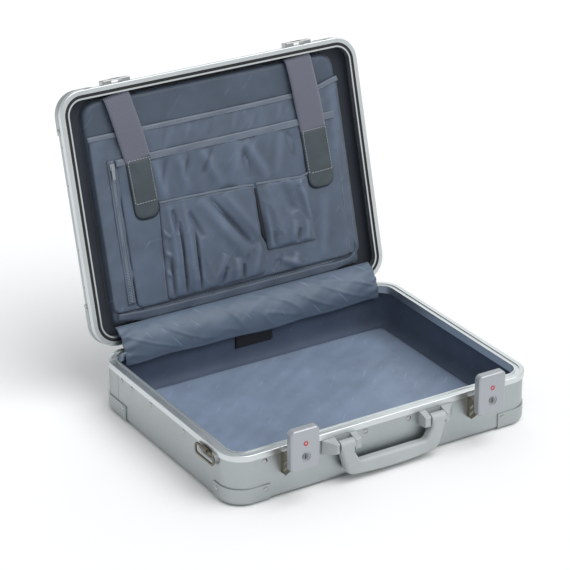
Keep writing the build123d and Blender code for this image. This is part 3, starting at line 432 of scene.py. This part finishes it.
def rounded(points, radii, step=2.0):
    """Closed outline through corner points, each rounded by its radius, with evenly spaced points."""
    count = len(points)
    path = []
    for i in range(count):
        a, b, c = (np.array(points[(i + k) % count], float) for k in (-1, 0, 1))
        radius = radii[i] if hasattr(radii, "__len__") else radii
        u, w = (a - b) / np.linalg.norm(a - b), (c - b) / np.linalg.norm(c - b)
        half = math.acos(max(-1, min(1, float(u @ w)))) / 2
        reach = min(radius / math.tan(half), 0.49 * np.linalg.norm(a - b), 0.49 * np.linalg.norm(c - b))
        start, stop = b + u * reach, b + w * reach
        turns = 8
        for k in range(turns + 1):
            t = k / turns
            path.append((1 - t) ** 2 * start + 2 * t * (1 - t) * b + t * t * stop)
    path = np.array(path)
    closed = np.vstack([path, path[:1]])
    along = np.concatenate([[0], np.cumsum(np.linalg.norm(np.diff(closed, axis=0), axis=1))])
    total = max(8, int(along[-1] / step))
    marks = np.linspace(0, along[-1], total, endpoint=False)
    return np.stack([np.interp(marks, along, closed[:, k]) for k in (0, 1)], axis=1)


def edge_distance(points, outline):
    """Distance of flat points to a closed outline."""
    best = np.full(len(points), 1e9)
    for a, b in zip(outline, np.roll(outline, -1, axis=0)):
        d = b - a
        t = np.clip(((points - a) @ d) / (d @ d), 0, 1)
        best = np.minimum(best, np.linalg.norm(points - a - t[:, None] * d, axis=1))
    return best


FOLD_DEPTH = 1.9         # height of a fold whose own height is 1


def crease(points, a, b, width, height):
    """A soft fold between two flat points, fading at its ends."""
    a, b = np.array(a, float), np.array(b, float)
    d = b - a
    t = ((points - a) @ d) / (d @ d)
    away = (points - a) @ np.array([-d[1], d[0]]) / np.linalg.norm(d)
    fade = np.clip(1 - (2 * t - 1) ** 2, 0, None) ** 0.6
    return FOLD_DEPTH * height * np.exp(-((away / width) ** 2)) * fade


def crumple(p, seed, amount, size=22.0, slant=0.5):
    """Crisp irregular folds of thin nylon, drawn out along a slant."""
    along = p @ np.array([slant, -1.0])
    across = p @ np.array([1.0, slant])
    total = np.zeros(len(p))
    for octave, share in ((1.0, 1.0), (2.3, 0.3)):
        spread = np.c_[along * 0.45, across] * octave / size
        bend = crowd(np.c_[spread * 0.5, np.full(len(p), seed + 3.0)])
        ridge = 1 - np.abs(crowd(np.c_[spread + 0.9 * bend[:, None], np.full(len(p), seed)])) * 2.4
        total += share * np.sign(ridge) * np.abs(np.clip(ridge, -0.6, 1)) ** 1.7
    return amount * total


SMOOTHING_ROUNDS = 14    # a fold's height is judged against its surroundings, smoothed this often


def pad(name, outline, back, face, edge, place, material, relief=None, step=2.5, bottom=True):
    """Soft piece over a flat outline: rounded at its edges and shaped by relief.

    back and face are its two heights, and edge is how far in from the outline it rounds over.
    place maps (x, y, height) to metres.
    """
    outline = np.asarray(outline, float)
    count = len(outline)
    centre = (outline.max(0) + outline.min(0)) / 2
    shells = max(4, int((outline.max(0) - outline.min(0)).min() / 2 / step))
    rings = [centre[None, :]]
    for k in range(1, shells + 1):
        rings.append(centre + (outline - centre) * k / shells)
    flat = np.vstack(rings)
    away = edge_distance(flat, outline)
    roll = np.clip(away / edge, 0, 1)
    swell = np.sqrt(np.clip(1 - (1 - roll) ** 2, 0, 1))
    height = back + (face - back) * swell
    folds = np.zeros(len(flat))
    if relief is not None:
        sign = 1 if face > back else -1
        rise = relief(flat) * np.clip(away / (1.5 * edge), 0, 1)
        height = height + sign * rise
        sheet_rows = rise[1:].reshape(shells, count)
        smooth = sheet_rows.copy()
        for _ in range(SMOOTHING_ROUNDS):
            ends = np.vstack([smooth[:1], smooth, smooth[-1:]])
            smooth = (ends[:-2] + ends[2:] + np.roll(smooth, 1, 1) + np.roll(smooth, -1, 1)) / 4
        folds[1:] = (sheet_rows - smooth).ravel()
    points = [place(x, y, h) for (x, y), h in zip(flat, height)]
    faces = []
    for i in range(count):
        j = (i + 1) % count
        faces.append((0, 1 + i, 1 + j))
        for k in range(shells - 1):
            a = 1 + k * count
            faces.append((a + i, a + count + i, a + count + j, a + j))
    uvs = list(flat * MM)
    if bottom:
        first = len(points)
        points += [place(x, y, back) for x, y in outline * 0.999 + centre * 0.001]
        uvs += list(outline * MM)
        last = 1 + (shells - 1) * count
        for i in range(count):
            j = (i + 1) % count
            faces.append((last + i, first + i, first + j, last + j))
        faces.append(tuple(first + i for i in range(count))[::-1])
    item = new_mesh(name, points, faces, material, uvs)
    # fold heights against their surroundings, which the fabric materials turn into painted shade
    shade = item.data.attributes.new("fold", "FLOAT", "POINT")
    shade.data.foreach_set("value", np.r_[folds, np.zeros(len(points) - len(folds))].astype(np.float32))
    fix_normals(item)
    return item


def fix_normals(item):
    """Turns every face outwards."""
    mesh = bmesh.new()
    mesh.from_mesh(item.data)
    bmesh.ops.recalc_face_normals(mesh, faces=mesh.faces)
    mesh.to_mesh(item.data)
    mesh.free()


def strip(name, path, width, thickness, place, material, lift=None, across_steps=6, step=3.0, crown=0.25):
    """Flat band along a path of (x, y, height): webbing, binding or tape with softly rounded edges."""
    path = np.array(path, float)
    along = np.concatenate([[0], np.cumsum(np.linalg.norm(np.diff(path, axis=0), axis=1))])
    total = max(3, int(along[-1] / step))
    marks = np.linspace(0, along[-1], total)
    line = np.stack([np.interp(marks, along, path[:, k]) for k in range(3)], axis=1)
    for _ in range(3):
        line[1:-1] = (line[:-2] + 2 * line[1:-1] + line[2:]) / 4
    tangent = np.gradient(line[:, :2], axis=0)
    tangent /= np.linalg.norm(tangent, axis=1)[:, None]
    normal = np.stack([-tangent[:, 1], tangent[:, 0]], axis=1)
    if hasattr(width, "__len__"):
        widths = np.interp(marks / along[-1], *zip(*width))
    else:
        widths = np.full(total, width)
    section = []
    half = thickness / 2
    for k in range(across_steps + 1):
        u = -1 + 2 * k / across_steps
        section.append((u, half * (1 - abs(u) ** 6 * (1 - crown))))
    for k in range(across_steps + 1):
        u = 1 - 2 * k / across_steps
        section.append((u, -half * (1 - abs(u) ** 6 * (1 - crown))))
    points, uvs = [], []
    for i in range(total):
        for u, rise in section:
            x, y = line[i, :2] + normal[i] * u * widths[i] / 2
            h = line[i, 2] - rise
            if lift is not None:
                h -= lift(marks[i] / along[-1], u)
            points.append(place(x, y, h))
            uvs.append((u * widths[i] / 2 * MM, marks[i] * MM))
    ring_size = len(section)
    faces = []
    for i in range(total - 1):
        for k in range(ring_size):
            m = (k + 1) % ring_size
            a, b = i * ring_size, (i + 1) * ring_size
            faces.append((a + k, b + k, b + m, a + m))
    faces.append(tuple(range(ring_size)))
    faces.append(tuple((total - 1) * ring_size + k for k in range(ring_size))[::-1])
    item = new_mesh(name, points, faces, material, uvs)
    fix_normals(item)
    return item


def stitches(name, path, place, material=None, pitch=3.4, length=2.3, radius=0.34):
    """Row of sewn stitches along a path of (x, y, height)."""
    path = np.array(path, float)
    along = np.concatenate([[0], np.cumsum(np.linalg.norm(np.diff(path, axis=0), axis=1))])
    points, faces = [], []
    mark = pitch / 2
    while mark + length / 2 < along[-1]:
        ends = []
        for offset in (-length / 2, 0, length / 2):
            ends.append(np.array([np.interp(mark + offset, along, path[:, k]) for k in range(3)]))
        d = ends[2] - ends[0]
        side = np.array([-d[1], d[0], 0]) / (np.linalg.norm(d[:2]) + 1e-9) * radius
        first = len(points)
        body = [ends[0], ends[1] + side, ends[1] - side, ends[2], ends[1] - np.array([0, 0, radius * 1.2])]
        points += [place(*p) for p in body]
        faces += [tuple(first + k for k in f) for f in ((0, 1, 4), (1, 3, 4), (3, 2, 4), (2, 0, 4))]
        mark += pitch
    return new_mesh(name, points, faces, material or THREAD, [(p[0], p[2]) for p in points])


def tray(name, place, top, floor, wall, material, relief=0.4, corner=9.0):
    """Cloth lining of a shell: its walls between two heights and a rounded turn into its floor."""
    lip = top + (floor - top) * 0.04
    levels = [(LINING_INSET, top), (LINING_INSET + wall * 0.6, top), (LINING_INSET + wall, lip)]
    steps = 10
    for k in range(1, steps + 1):
        levels.append((LINING_INSET + wall, top + (floor - top) * (0.04 + 0.66 * k / steps)))
    turns = 6
    rise = (floor - top) * 0.30
    for k in range(1, turns + 1):
        angle = k / turns * math.pi / 2
        levels.append(
            (LINING_INSET + wall + corner * (1 - math.cos(angle)), floor - rise + rise * math.sin(angle))
        )
    inset = levels[-1][0]
    while inset < 150:
        inset += 6.0
        levels.append((inset, floor))
    corners = ((-1, -1), (1, -1), (1, 1), (-1, 1))
    points, uvs, rings = [], [], []
    run = 0.0
    count = None
    for index, (inset, height) in enumerate(levels):
        w, d = HALF_W - inset, HALF_D - inset
        radius = max(CORNER - inset, 5.0)
        shape = outline_of(w, d, radius)
        if index:
            before = levels[index - 1]
            run += math.hypot(inset - before[0], height - before[1])
        count = len(shape)
        rings.append(len(points))
        perimeter = 0.0
        for k, (x, y) in enumerate(shape):
            wobble = noise.noise(Vector((x * 0.02, y * 0.02, height * 0.05 + 7.0))) * relief
            wobble += noise.noise(Vector((x * 0.06, y * 0.06, height * 0.12))) * relief * 0.5
            calm = 0.0 if index < 3 else 1.0
            nx, ny = x / max(w, 1), y / max(d, 1)
            on_floor = 1.0 if height == floor else 0.0
            dx = -nx * wobble * calm * (1 - on_floor)
            dy = -ny * wobble * calm * (1 - on_floor)
            dh = wobble * calm * on_floor * (1 if floor < top else -1)
            points.append(place(x + dx, y + dy, height + dh))
            if k:
                perimeter += math.dist(shape[k], shape[k - 1])
            uvs.append((perimeter * MM, run * MM) if not on_floor else (x * MM, y * MM))
    faces = []
    for a, b in zip(rings, rings[1:]):
        for k in range(count):
            m = (k + 1) % count
            faces.append((a + k, b + k, b + m, a + m))
    faces.append(tuple(rings[-1] + k for k in range(count)))
    return new_mesh(name, points, faces, material, uvs)


def outline_of(w, d, radius, long_steps=60, short_steps=44, turns=8):
    """Rounded rectangle with the same number of points whatever its size."""
    points = []
    x, y = w - radius, d - radius
    centres = ((x, -y), (x, y), (-x, y), (-x, -y))
    for index, (cx, cy) in enumerate(centres):
        start = -math.pi / 2 + index * math.pi / 2
        for k in range(turns):
            angle = start + (k / turns) * math.pi / 2
            points.append((cx + radius * math.cos(angle), cy + radius * math.sin(angle)))
        nx, ny = centres[(index + 1) % 4]
        stop = start + math.pi / 2
        a = (cx + radius * math.cos(stop), cy + radius * math.sin(stop))
        b = (nx + radius * math.cos(stop), ny + radius * math.sin(stop))
        steps = short_steps if index % 2 == 0 else long_steps
        for k in range(steps):
            t = k / steps
            points.append((a[0] + (b[0] - a[0]) * t, a[1] + (b[1] - a[1]) * t))
    return points


def lid_plan(x, y, h):
    """Point of the lid from centred plan coordinates."""
    return lid_point(x, y + HALF_D, h)


# ---------------------------------------------------------------- base: lining, floor, label
base_tray = tray("base_lining_cloth", base_point, 66.1, 7.4, 2.6, LINING, relief=0.7)
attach(base_tray, "base")
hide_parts("base_lining")


def floor_relief(p):
    """Long soft wrinkles of the floor's cloth."""
    broad = crowd(np.c_[p * (0.012, 0.02), np.full(len(p), 3.0)]) * 0.95
    turned = p @ np.array([[0.9, -0.5], [0.4, 0.8]])
    slant = crowd(np.c_[turned * (0.008, 0.06), np.full(len(p), 9.0)]) * 0.7
    return broad + slant + crumple(p, 15.0, 0.32, 60.0, -0.7)


floor_outline = rounded([(-209, -151), (209, -151), (209, 151), (-209, 151)], 12.0, 4.0)
floor_pad = pad("floor_pad", floor_outline, 7.4, 10.3, 7.0, base_point, FLOOR_CLOTH, floor_relief, 4.0)
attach(floor_pad, "base")
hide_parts("base_floor_pad")

LABEL_Y = HALF_D - 7.7


def label_point(x, z, out):
    """Point on the rear lining, standing out of it."""
    return Vector((x, LABEL_Y - out, z)) * MM


def label_relief(p):
    """Slow wave along the label."""
    return 0.3 * np.sin(p[:, 0] * 0.11)


label_outline = rounded([(-25, 28), (36, 28), (36, 47), (-25, 47)], 0.8, 1.5)
label = pad("label", label_outline, 0.0, 0.7, 0.6, label_point, LABEL, label_relief, 1.5)
LABEL_SEAM = ((-23.5, 29.5), (34.5, 29.5), (34.5, 45.5), (-23.5, 45.5), (-23.5, 29.5))
label_seam = [(x, z, 0.85) for x, z in LABEL_SEAM]
label_border = stitches("label_stitching", label_seam, label_point, LABEL_EDGE, 2.0, 1.5, 0.2)
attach(label, "base")
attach(label_border, "base")
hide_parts("maker_label")

# ---------------------------------------------------------------- lid: lining and organizer
lid_tray = tray("lid_lining_cloth", lid_plan, 4.9, 16.6, 2.6, LID_LINING, relief=0.4, corner=4.0)
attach(lid_tray, "lid")
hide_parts("lid_lining")


def on_lid(item, *replaced, slot="organizer_cloth"):
    """A piece of the lid, standing for CAD nodes."""
    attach(item, "lid")
    if replaced:
        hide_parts(*replaced)
    return item


def gentle(seed, amount, fx=0.02, fy=0.02):
    """Soft cloth unevenness."""
    def relief(p):
        near = crowd(np.c_[p * (fx, fy), np.full(len(p), seed)])
        far = crowd(np.c_[p * (fx * 3, fy * 3), np.full(len(p), seed + 5.0)])
        return amount * (near + 0.4 * far)

    return relief


panel_outline = rounded([(-198, 17), (198, 17), (198, 322), (-198, 322)], (26, 26, 12, 12), 4.0)
panel = pad("organizer_board", panel_outline, 16.4, 7.2, 8.0, lid_point, BOARD, gentle(2.0, 1.2), 4.0)
on_lid(panel, "organizer_panel")

# Flat document pocket behind everything, its mouth rising at the right.
document_outline = rounded(
    [(-195, 64), (60, 64.5), (150, 63), (196, 52), (197, 304), (-195, 306)], (4, 60, 60, 8, 12, 12), 3.0
)


def document_relief(p):
    """Short gathers under the hem and one long fold at the right."""
    r = gentle(4.0, 0.9)(p) + crumple(p, 4.0, 0.7, 26.0, 0.6)
    for k in range(9):
        x = -150 + 36 * k
        r = r + crease(p, (x, 72), (x - 10, 98), 3.0, 0.7 * (1 if k % 2 else -0.8))
    r = r + crease(p, (186, 60), (178, 170), 7.0, 1.2)
    return r


document = pad(
    "document_pocket_cloth", document_outline, 7.0, 5.7, 3.0, lid_point, ORGANIZER, document_relief, 3.0
)
on_lid(document, "document_pocket")

# Long zipped pocket over it, its hem a broad band.
file_outline = rounded([(-161, 101), (182, 99.5), (183, 305), (-160, 305)], (3, 8, 12, 10), 3.0)


def file_relief(p):
    """Folds hanging from the hem, and a few at the foot."""
    r = gentle(6.0, 1.0)(p)
    busy = np.clip((176 - p[:, 1]) / 60, 0.15, 1)
    r = r + crumple(p, 6.0, 1.5, 54.0, 0.5) * busy
    folds = (
        ((-138, 112), (-122, 168), 6.0, 1.4), ((-104, 112), (-92, 172), 7.0, 1.6),
        ((-84, 113), (-98, 150), 3.0, -1.2), ((-66, 113), (-58, 166), 6.0, 1.5),
        ((-50, 113), (-62, 146), 2.6, -1.4), ((-30, 113), (-6, 170), 8.0, 1.9),
        ((-14, 113), (-34, 146), 3.0, -1.5), ((30, 112), (6, 170), 9.0, 2.2),
        ((38, 112), (66, 172), 8.0, 2.0), ((34, 120), (36, 166), 5.0, -1.6),
        ((96, 112), (78, 170), 7.0, 1.7), ((104, 112), (112, 150), 3.0, -1.3),
        ((150, 210), (134, 300), 7.0, 1.2), ((60, 282), (100, 300), 5.0, 1.4),
        ((56, 300), (72, 280), 4.0, -1.4), ((86, 302), (96, 282), 4.0, 1.5),
    )
    for a, b, width, height in folds:
        r = r + crease(p, a, b, width, height)
    return r


file_pocket = pad("file_pocket_cloth", file_outline, 5.8, 4.5, 3.0, lid_point, POCKET, file_relief, 2.6)
on_lid(file_pocket, "file_pocket")

HEMS = (
    ("document_hem", ((-195, 67.5), (60, 68), (150, 66.5), (196, 55.5)), 4.9, 7.0),
    ("file_hem", ((-160, 105.5), (60, 105), (183, 104)), 3.5, 10.0),
)


def hem_wave(t, u):
    """Unevenness along a hem."""
    return 0.35 * math.sin(31 * t + 2 * u) + 0.25 * math.sin(83 * t)


for name, path, height, width in HEMS:
    line = [(x, v, height) for x, v in path]
    on_lid(strip(name, line, width, 1.7, lid_point, BINDING, hem_wave))
    for side in (-1, 1):
        row = [(x, v + side * (width / 2 - 1.3), height - 1.0) for x, v in path]
        on_lid(stitches(f"{name}_stitching_{'upper' if side < 0 else 'lower'}", row, lid_point))

# ---------------------------------------------------------------- zip: tape, coil, stitching
ZIP_X = -166.5
TAPE_PATH = ((ZIP_X, 100, 4.6), (ZIP_X - 0.5, 200, 4.6), (ZIP_X, 296, 4.6))


def tape_wave(t, u):
    """Slow wave along the middle of the zip's tape."""
    return 0.3 * math.sin(23 * t) * (1 - abs(u))


tape = strip("zip_tape_cloth", TAPE_PATH, 11.0, 1.2, lid_point, ZIP_TAPE, tape_wave)
on_lid(tape, "zipper_tape")


def coil(name, x, first, last, height, pitch=3.8):
    """Interlocked coil of a zip: a raised loop to each side in turn."""
    points, faces = [], []
    mark, side = first, 1
    while mark < last:
        ring = len(points)
        for reach, lift in ((-0.4, 0.0), (0.5, 0.7), (1.7, 0.75), (2.3, 0.0)):
            for dv in (-0.75, 0.75):
                points.append(lid_point(x + side * reach, mark + dv + 0.25 * reach, height - lift))
        for k in range(3):
            a = ring + 2 * k
            faces.append((a, a + 1, a + 3, a + 2))
        faces.append((ring, ring + 2, ring + 4, ring + 6))
        faces.append((ring + 1, ring + 3, ring + 5, ring + 7))
        faces.append((ring, ring + 1, ring + 7, ring + 6))
        mark += pitch / 2
        side = -side
    item = new_mesh(name, points, faces, ZIP_METAL, smooth=False)
    fix_normals(item)
    return item


on_lid(coil("zip_coil", ZIP_X, 102.0, 293.0, 4.5), slot="zip_metal")
for x in (ZIP_X - 4.4, ZIP_X + 4.4):
    row = [(x, 101, 4.0), (x - 0.4, 200, 4.0), (x, 295, 4.0)]
    on_lid(stitches(f"zip_stitching_{'left' if x < ZIP_X else 'right'}", row, lid_point), slot="zip_tape")

# ---------------------------------------------------------------- the two patch pockets
WIDE_CORNERS = ((-106, 168), (-40, 170), (39, 174), (42, 236), (42, 301), (-60, 303), (-114, 303))
wide_outline = rounded(WIDE_CORNERS, (3, 40, 4, 60, 10, 60, 6), 1.6)


def wide_relief(p):
    """Full pocket: pleats at its left and long folds falling to the right."""
    x, v = p[:, 0], p[:, 1]
    down = np.clip((v - 172) / 70, 0, 1) * np.clip((303 - v) / 20, 0, 1) ** 0.6
    belly = (np.exp(-(((x + 16) / 40) ** 2)) * 4.6 + np.exp(-(((x + 78) / 20) ** 2)) * 3.2) * down
    r = belly + gentle(8.0, 0.9)(p) + crumple(p, 8.0, 1.6, 62.0, -0.55) * down
    folds = (
        ((-92, 176), (-96, 302), 4.5, 1.6), ((-80, 200), (-83, 302), 1.7, -3.6),
        ((-70, 176), (-71, 302), 4.5, 1.6), ((-58, 214), (-61, 303), 1.6, -3.4),
        ((-100, 246), (-102, 302), 1.8, -2.4), ((-88, 182), (-85, 216), 4.0, -2.2),
        ((-64, 190), (-48, 230), 4.0, -2.2), ((-46, 178), (14, 270), 9.0, 2.2),
        ((-30, 178), (26, 258), 4.0, -2.6), ((-8, 178), (40, 246), 8.0, 2.0),
        ((-46, 300), (-20, 258), 6.0, 2.2), ((-30, 302), (-20, 276), 3.0, -2.2),
        ((-8, 302), (-2, 268), 5.5, 2.2), ((6, 302), (8, 278), 2.8, -2.0),
        ((20, 302), (38, 256), 6.0, 2.0), ((-110, 206), (-98, 220), 3.0, 1.4),
        ((-112, 236), (-100, 244), 3.0, 1.4), ((-113, 262), (-101, 272), 3.0, 1.4),
    )
    for a, b, width, height in folds:
        r = r + crease(p, a, b, width, height)
    return r


wide = pad("wide_pocket_cloth", wide_outline, 4.5, 2.6, 3.0, lid_point, POCKET, wide_relief, 1.5)
on_lid(wide, "pocket_wide")

NARROW_CORNERS = ((44, 173), (124, 178), (128, 181), (128, 272), (48.5, 270), (48.5, 254), (45.8, 212))
narrow_outline = rounded(NARROW_CORNERS, (3, 5, 4, 3, 3, 40, 60), 1.6)


def narrow_relief(p):
    """Flatter pocket, bulging at its middle and along its gusset."""
    x, v = p[:, 0], p[:, 1]
    down = np.clip((v - 176) / 60, 0, 1) * np.clip((272 - v) / 22, 0, 1)
    belly = 2.6 * np.exp(-(((x - 84) / 30) ** 2)) * down
    r = belly + gentle(11.0, 1.0)(p) + crumple(p, 11.0, 1.6, 48.0, -0.5)
    r = r + 3.0 * np.exp(-(((x - 54) / 5) ** 2)) * np.clip((v - 190) / 40, 0, 1)
    folds = (
        ((60, 180), (70, 250), 8.0, 1.6), ((84, 182), (98, 226), 8.0, -1.8),
        ((112, 184), (122, 240), 5.0, 1.8), ((84, 268), (98, 236), 5.0, 1.8),
        ((98, 268), (104, 248), 2.8, -1.6), ((110, 268), (118, 240), 4.0, 1.4),
        ((64, 268), (60, 244), 4.0, -1.2), ((118, 180), (108, 190), 3.0, 1.6),
    )
    for a, b, width, height in folds:
        r = r + crease(p, a, b, width, height)
    return r


narrow = pad("narrow_pocket_cloth", narrow_outline, 4.5, 2.8, 4.0, lid_point, POCKET, narrow_relief, 1.6)
on_lid(narrow, "pocket_narrow")

# The gusset between the two pockets. Its near-black cloth stands for the shade inside the gap.
gusset_outline = rounded([(41.0, 177), (45, 177), (48.8, 215), (51.5, 252), (50, 266), (42.5, 246)], 1.0, 1.6)
gusset = pad("pocket_gusset", gusset_outline, 4.6, 3.2, 0.6, lid_point, GUSSET_SHADE, None, 1.6)
on_lid(gusset)

BINDINGS = (
    ("wide_binding", ((-106, 169.5), (-60, 170.5), (0, 172.5), (30, 174), (40, 175.5)), 2.5, 3.2),
    ("narrow_binding", ((44, 174.5), (84, 177), (118, 179.5), (128, 176)), 2.5, 3.2),
)


def binding_wave(t, u):
    """Unevenness along a bound edge."""
    return 0.6 * math.sin(19 * t) + 0.3 * math.sin(47 * t)


for name, path, height, width in BINDINGS:
    line = [(x, v, height) for x, v in path]
    on_lid(strip(name, line, width, 2.0, lid_point, BINDING, binding_wave, 8, 2.0, 0.0))
    row = [(x, v + 3.2, height - 0.6) for x, v in path]
    on_lid(stitches(f"{name}_stitching", row, lid_point, pitch=3.0, length=2.0))

SEAMS = (
    ("wide_side_seam", ((-107, 176), (-111, 240), (-115, 300))),
    ("wide_left_seam", ((-105.5, 176), (-109.5, 240), (-113.5, 300))),
    ("narrow_side_seam", ((126.5, 182), (127, 230), (126.5, 270))),
    ("narrow_bottom_seam", ((48, 269), (90, 270.2), (126, 270.5))),
    ("narrow_bottom_row", ((48, 266), (90, 267.2), (126, 267.5))),
    ("document_side_seam", ((190, 62), (192, 180), (191, 286))),
    ("file_side_seam", ((181, 110), (181, 200), (180, 296))),
)
for name, path in SEAMS:
    height = 5.4 if name.startswith("document") else 4.1
    on_lid(stitches(name, [(x, v, height) for x, v in path], lid_point, pitch=3.0, length=2.0))

# Bottom seam band of all the pockets, turning up at its right end.
bottom_path = (
    (-190, 309), (-150, 314), (-60, 315), (60, 315), (150, 314.5), (178, 312), (189, 303), (192, 288),
)
bottom_line = [(x, v, 5.0) for x, v in bottom_path]
BOTTOM_WIDTHS = ((0, 9), (0.1, 13), (0.8, 13), (1, 5))


def bottom_wave(t, u):
    """Unevenness along the bottom band."""
    return 0.5 * math.sin(37 * t + u) + 0.3 * math.sin(90 * t)


bottom = strip(
    "organizer_hem_cloth", bottom_line, BOTTOM_WIDTHS, 3.4, lid_point, BOARD, bottom_wave, 10, 3.0, 0.0
)
on_lid(bottom, "organizer_hem")
bottom_row = [(x, v - 7.5, 4.4) for x, v in bottom_path[1:5]]
on_lid(stitches("organizer_hem_stitching", bottom_row, lid_point))

# ---------------------------------------------------------------- straps and their leather ends
STRAPS = (
    ("left", (-144.8, 16), (-127.8, 103), (-124.5, 188), 38.5, 37.5),
    ("right", (136.5, 16), (145.5, 115), (148.5, 201), 41.0, 42.0),
)


def along_strap(a, b, height):
    """Place function of a leather end: its own length and width, laid between two points."""
    a, b = np.array(a, float), np.array(b, float)
    d = (b - a) / np.linalg.norm(b - a)
    n = np.array([-d[1], d[0]])

    def place(s, t, h):
        x, v = a + d * t - n * s
        return lid_point(x, v, height + h)

    return place, float(np.linalg.norm(b - a))


def strap_bow(t, u):
    """Standing curve of a strap between its ends, with a slight twist."""
    return 1.8 * math.sin(math.pi * min(1, t)) + 0.5 * u * math.sin(2.2 * math.pi * t)


def end_bend(p):
    """Slow waves of a leather end."""
    return 0.6 * np.sin(p[:, 1] * 0.045) + 0.25 * np.sin(p[:, 0] * 0.16 + 1)


for side, root, join, tip, width, end_width in STRAPS:
    lean = (np.array(join) - np.array(root)) / np.linalg.norm(np.array(join) - np.array(root))
    path = [(root[0] - lean[0] * 2, root[1] - 1.6, 8.0), (root[0] - lean[0], root[1] - 1.2, 4.2)]
    for k in range(9):
        t = k / 8
        x, v = np.array(root) + (np.array(join) + lean * 3 - np.array(root)) * t
        path.append((x, v + 1.0, 2.3 if k else 2.8))
    webbing = strip(f"strap_webbing_{side}", path, width, 1.7, lid_point, WEBBING, strap_bow, 12, 2.5, 0.35)
    on_lid(webbing, f"strap_{side}", slot="webbing")
    place, length = along_strap(join, tip, 0.0)
    half = end_width / 2
    corners = [(-half, 0), (half, 0), (half, length), (-half, length)]
    shape = rounded(corners, (2.5, 2.5, half * 0.8, half * 0.8), 1.8)
    end = pad(f"strap_leather_{side}", shape, 3.0, 0.4, 2.0, place, LEATHER, end_bend, 1.8)
    on_lid(end, f"strap_end_{side}", slot="grey_leather")
    inner, foot = half - 2.6, length - 24
    seam = ((-inner, foot), (-inner, 2.6), (inner, 2.6), (inner, foot), (-inner, foot))
    loop = [(s, t, -0.5) for s, t in seam]
    on_lid(stitches(f"strap_stitching_{side}", loop, place, PALE_THREAD, 4.2, 2.9, 0.6), slot="grey_leather")

# ---------------------------------------------------------------- curtain over the hinge
CURTAIN_PATH = (
    (184.6, 97.0), (178.0, 95.5), (169.0, 91.0), (161.5, 83.0), (157.2, 73.0), (155.8, 62.0), (156.4, 51.0),
)


def spline(path, count):
    """Evenly spaced points of a smooth curve through points."""
    path = np.array(path, float)
    padded = np.vstack([2 * path[0] - path[1], path, 2 * path[-1] - path[-2]])
    out = []
    for i in range(1, len(padded) - 2):
        p0, p1, p2, p3 = padded[i - 1:i + 3]
        for t in np.linspace(0, 1, 12, endpoint=False):
            out.append(0.5 * (2 * p1 + (p2 - p0) * t + (2 * p0 - 5 * p1 + 4 * p2 - p3) * t * t
                              + (3 * p1 - p0 - 3 * p2 + p3) * t ** 3))
    out = np.array(out + [path[-1]])
    run = np.concatenate([[0], np.cumsum(np.linalg.norm(np.diff(out, axis=0), axis=1))])
    marks = np.linspace(0, run[-1], count)
    return np.stack([np.interp(marks, run, out[:, k]) for k in range(2)], axis=1), run[-1]


def curtain_cloth(left=-198.0, right=205.0, columns=210, rows=34):
    """Loose sheet from the lid's rear edge down over the rear wall, gathered a little at its ends."""
    line, length = spline(CURTAIN_PATH, rows)
    normal = np.gradient(line, axis=0)
    normal = np.stack([normal[:, 1], -normal[:, 0]], axis=1)
    normal /= np.linalg.norm(normal, axis=1)[:, None]
    if normal[rows // 2][0] > 0:
        normal = -normal
    points, uvs, faces = [], [], []
    for j in range(rows):
        t = j / (rows - 1)
        hold = math.sin(math.pi * min(1.0, t * 1.05)) ** 0.7 if t < 0.95 else 0.3
        for i in range(columns):
            x = left + (right - left) * i / (columns - 1)
            run = t * length
            folds = 1.6 * noise.noise(Vector((x * 0.011, run * 0.03, 1.0)))
            folds += 1.1 * noise.noise(Vector((x * 0.03 + run * 0.05, run * 0.012 - x * 0.004, 4.0)))
            folds += 0.6 * noise.noise(Vector((x * 0.07 + run * 0.09, run * 0.03, 8.0)))
            turn = noise.noise(Vector((x * 0.02 - run * 0.03, run * 0.02, 12.0)))
            folds += 1.3 * max(0.0, 1 - abs(turn) * 5.0) ** 2
            near = max(0.0, 1 - min(x - left, right - x) / 26.0)
            tuck = -3.5 * near ** 2 + 1.3 * near * math.sin(run * 0.42 + x * 0.1)
            y = line[j][0] + normal[j][0] * (folds * hold + tuck * hold)
            z = line[j][1] + normal[j][1] * (folds * hold + tuck * hold)
            sag = -1.4 * math.sin(x * 0.021 + 1.0) * t ** 3 - 0.8 * math.sin(x * 0.06) * t ** 3
            points.append((x * MM, y * MM, (z + sag) * MM))
            uvs.append((x * MM, run * MM))
    for j in range(rows - 1):
        for i in range(columns - 1):
            a = j * columns + i
            faces.append((a, a + 1, a + columns + 1, a + columns))
    item = new_mesh("curtain_cloth", points, faces, CURTAIN, uvs)
    thick = item.modifiers.new("thickness", "SOLIDIFY")
    thick.thickness = 0.0006
    thick.offset = 0.0
    bpy.context.view_layer.objects.active = item
    item.select_set(True)
    bpy.ops.object.modifier_apply(modifier="thickness")
    item.select_set(False)
    return item, (right - left) * MM, length * MM


curtain, curtain_width, curtain_length = curtain_cloth()
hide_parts("hinge_curtain")
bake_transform(curtain)

dress("zipper_slider", ZIP_METAL)

# ---------------------------------------------------------------- floor
floor_mesh = bpy.data.meshes.new("studio_floor")
FLOOR = 12.0
floor_corners = [(x * FLOOR, y * FLOOR, 0) for x, y in ((-1, -1), (1, -1), (1, 1), (-1, 1))]
floor_mesh.from_pydata(floor_corners, [], [(0, 1, 2, 3)])
studio_floor = bpy.data.objects.new("studio_floor", floor_mesh)
scene.collection.objects.link(studio_floor)
studio_floor.location.z = cad_box[0][2] - 0.0005
paper = Shader("pale_paper", (0.90, 0.905, 0.91), 0.0, 0.9)
grain = paper.noise(3.0, 2.0)
paper.color(paper.ramp(grain, ((0.3, (0.895, 0.9, 0.905)), (0.7, (0.905, 0.91, 0.915)))))
studio_floor.data.materials.append(paper.material)
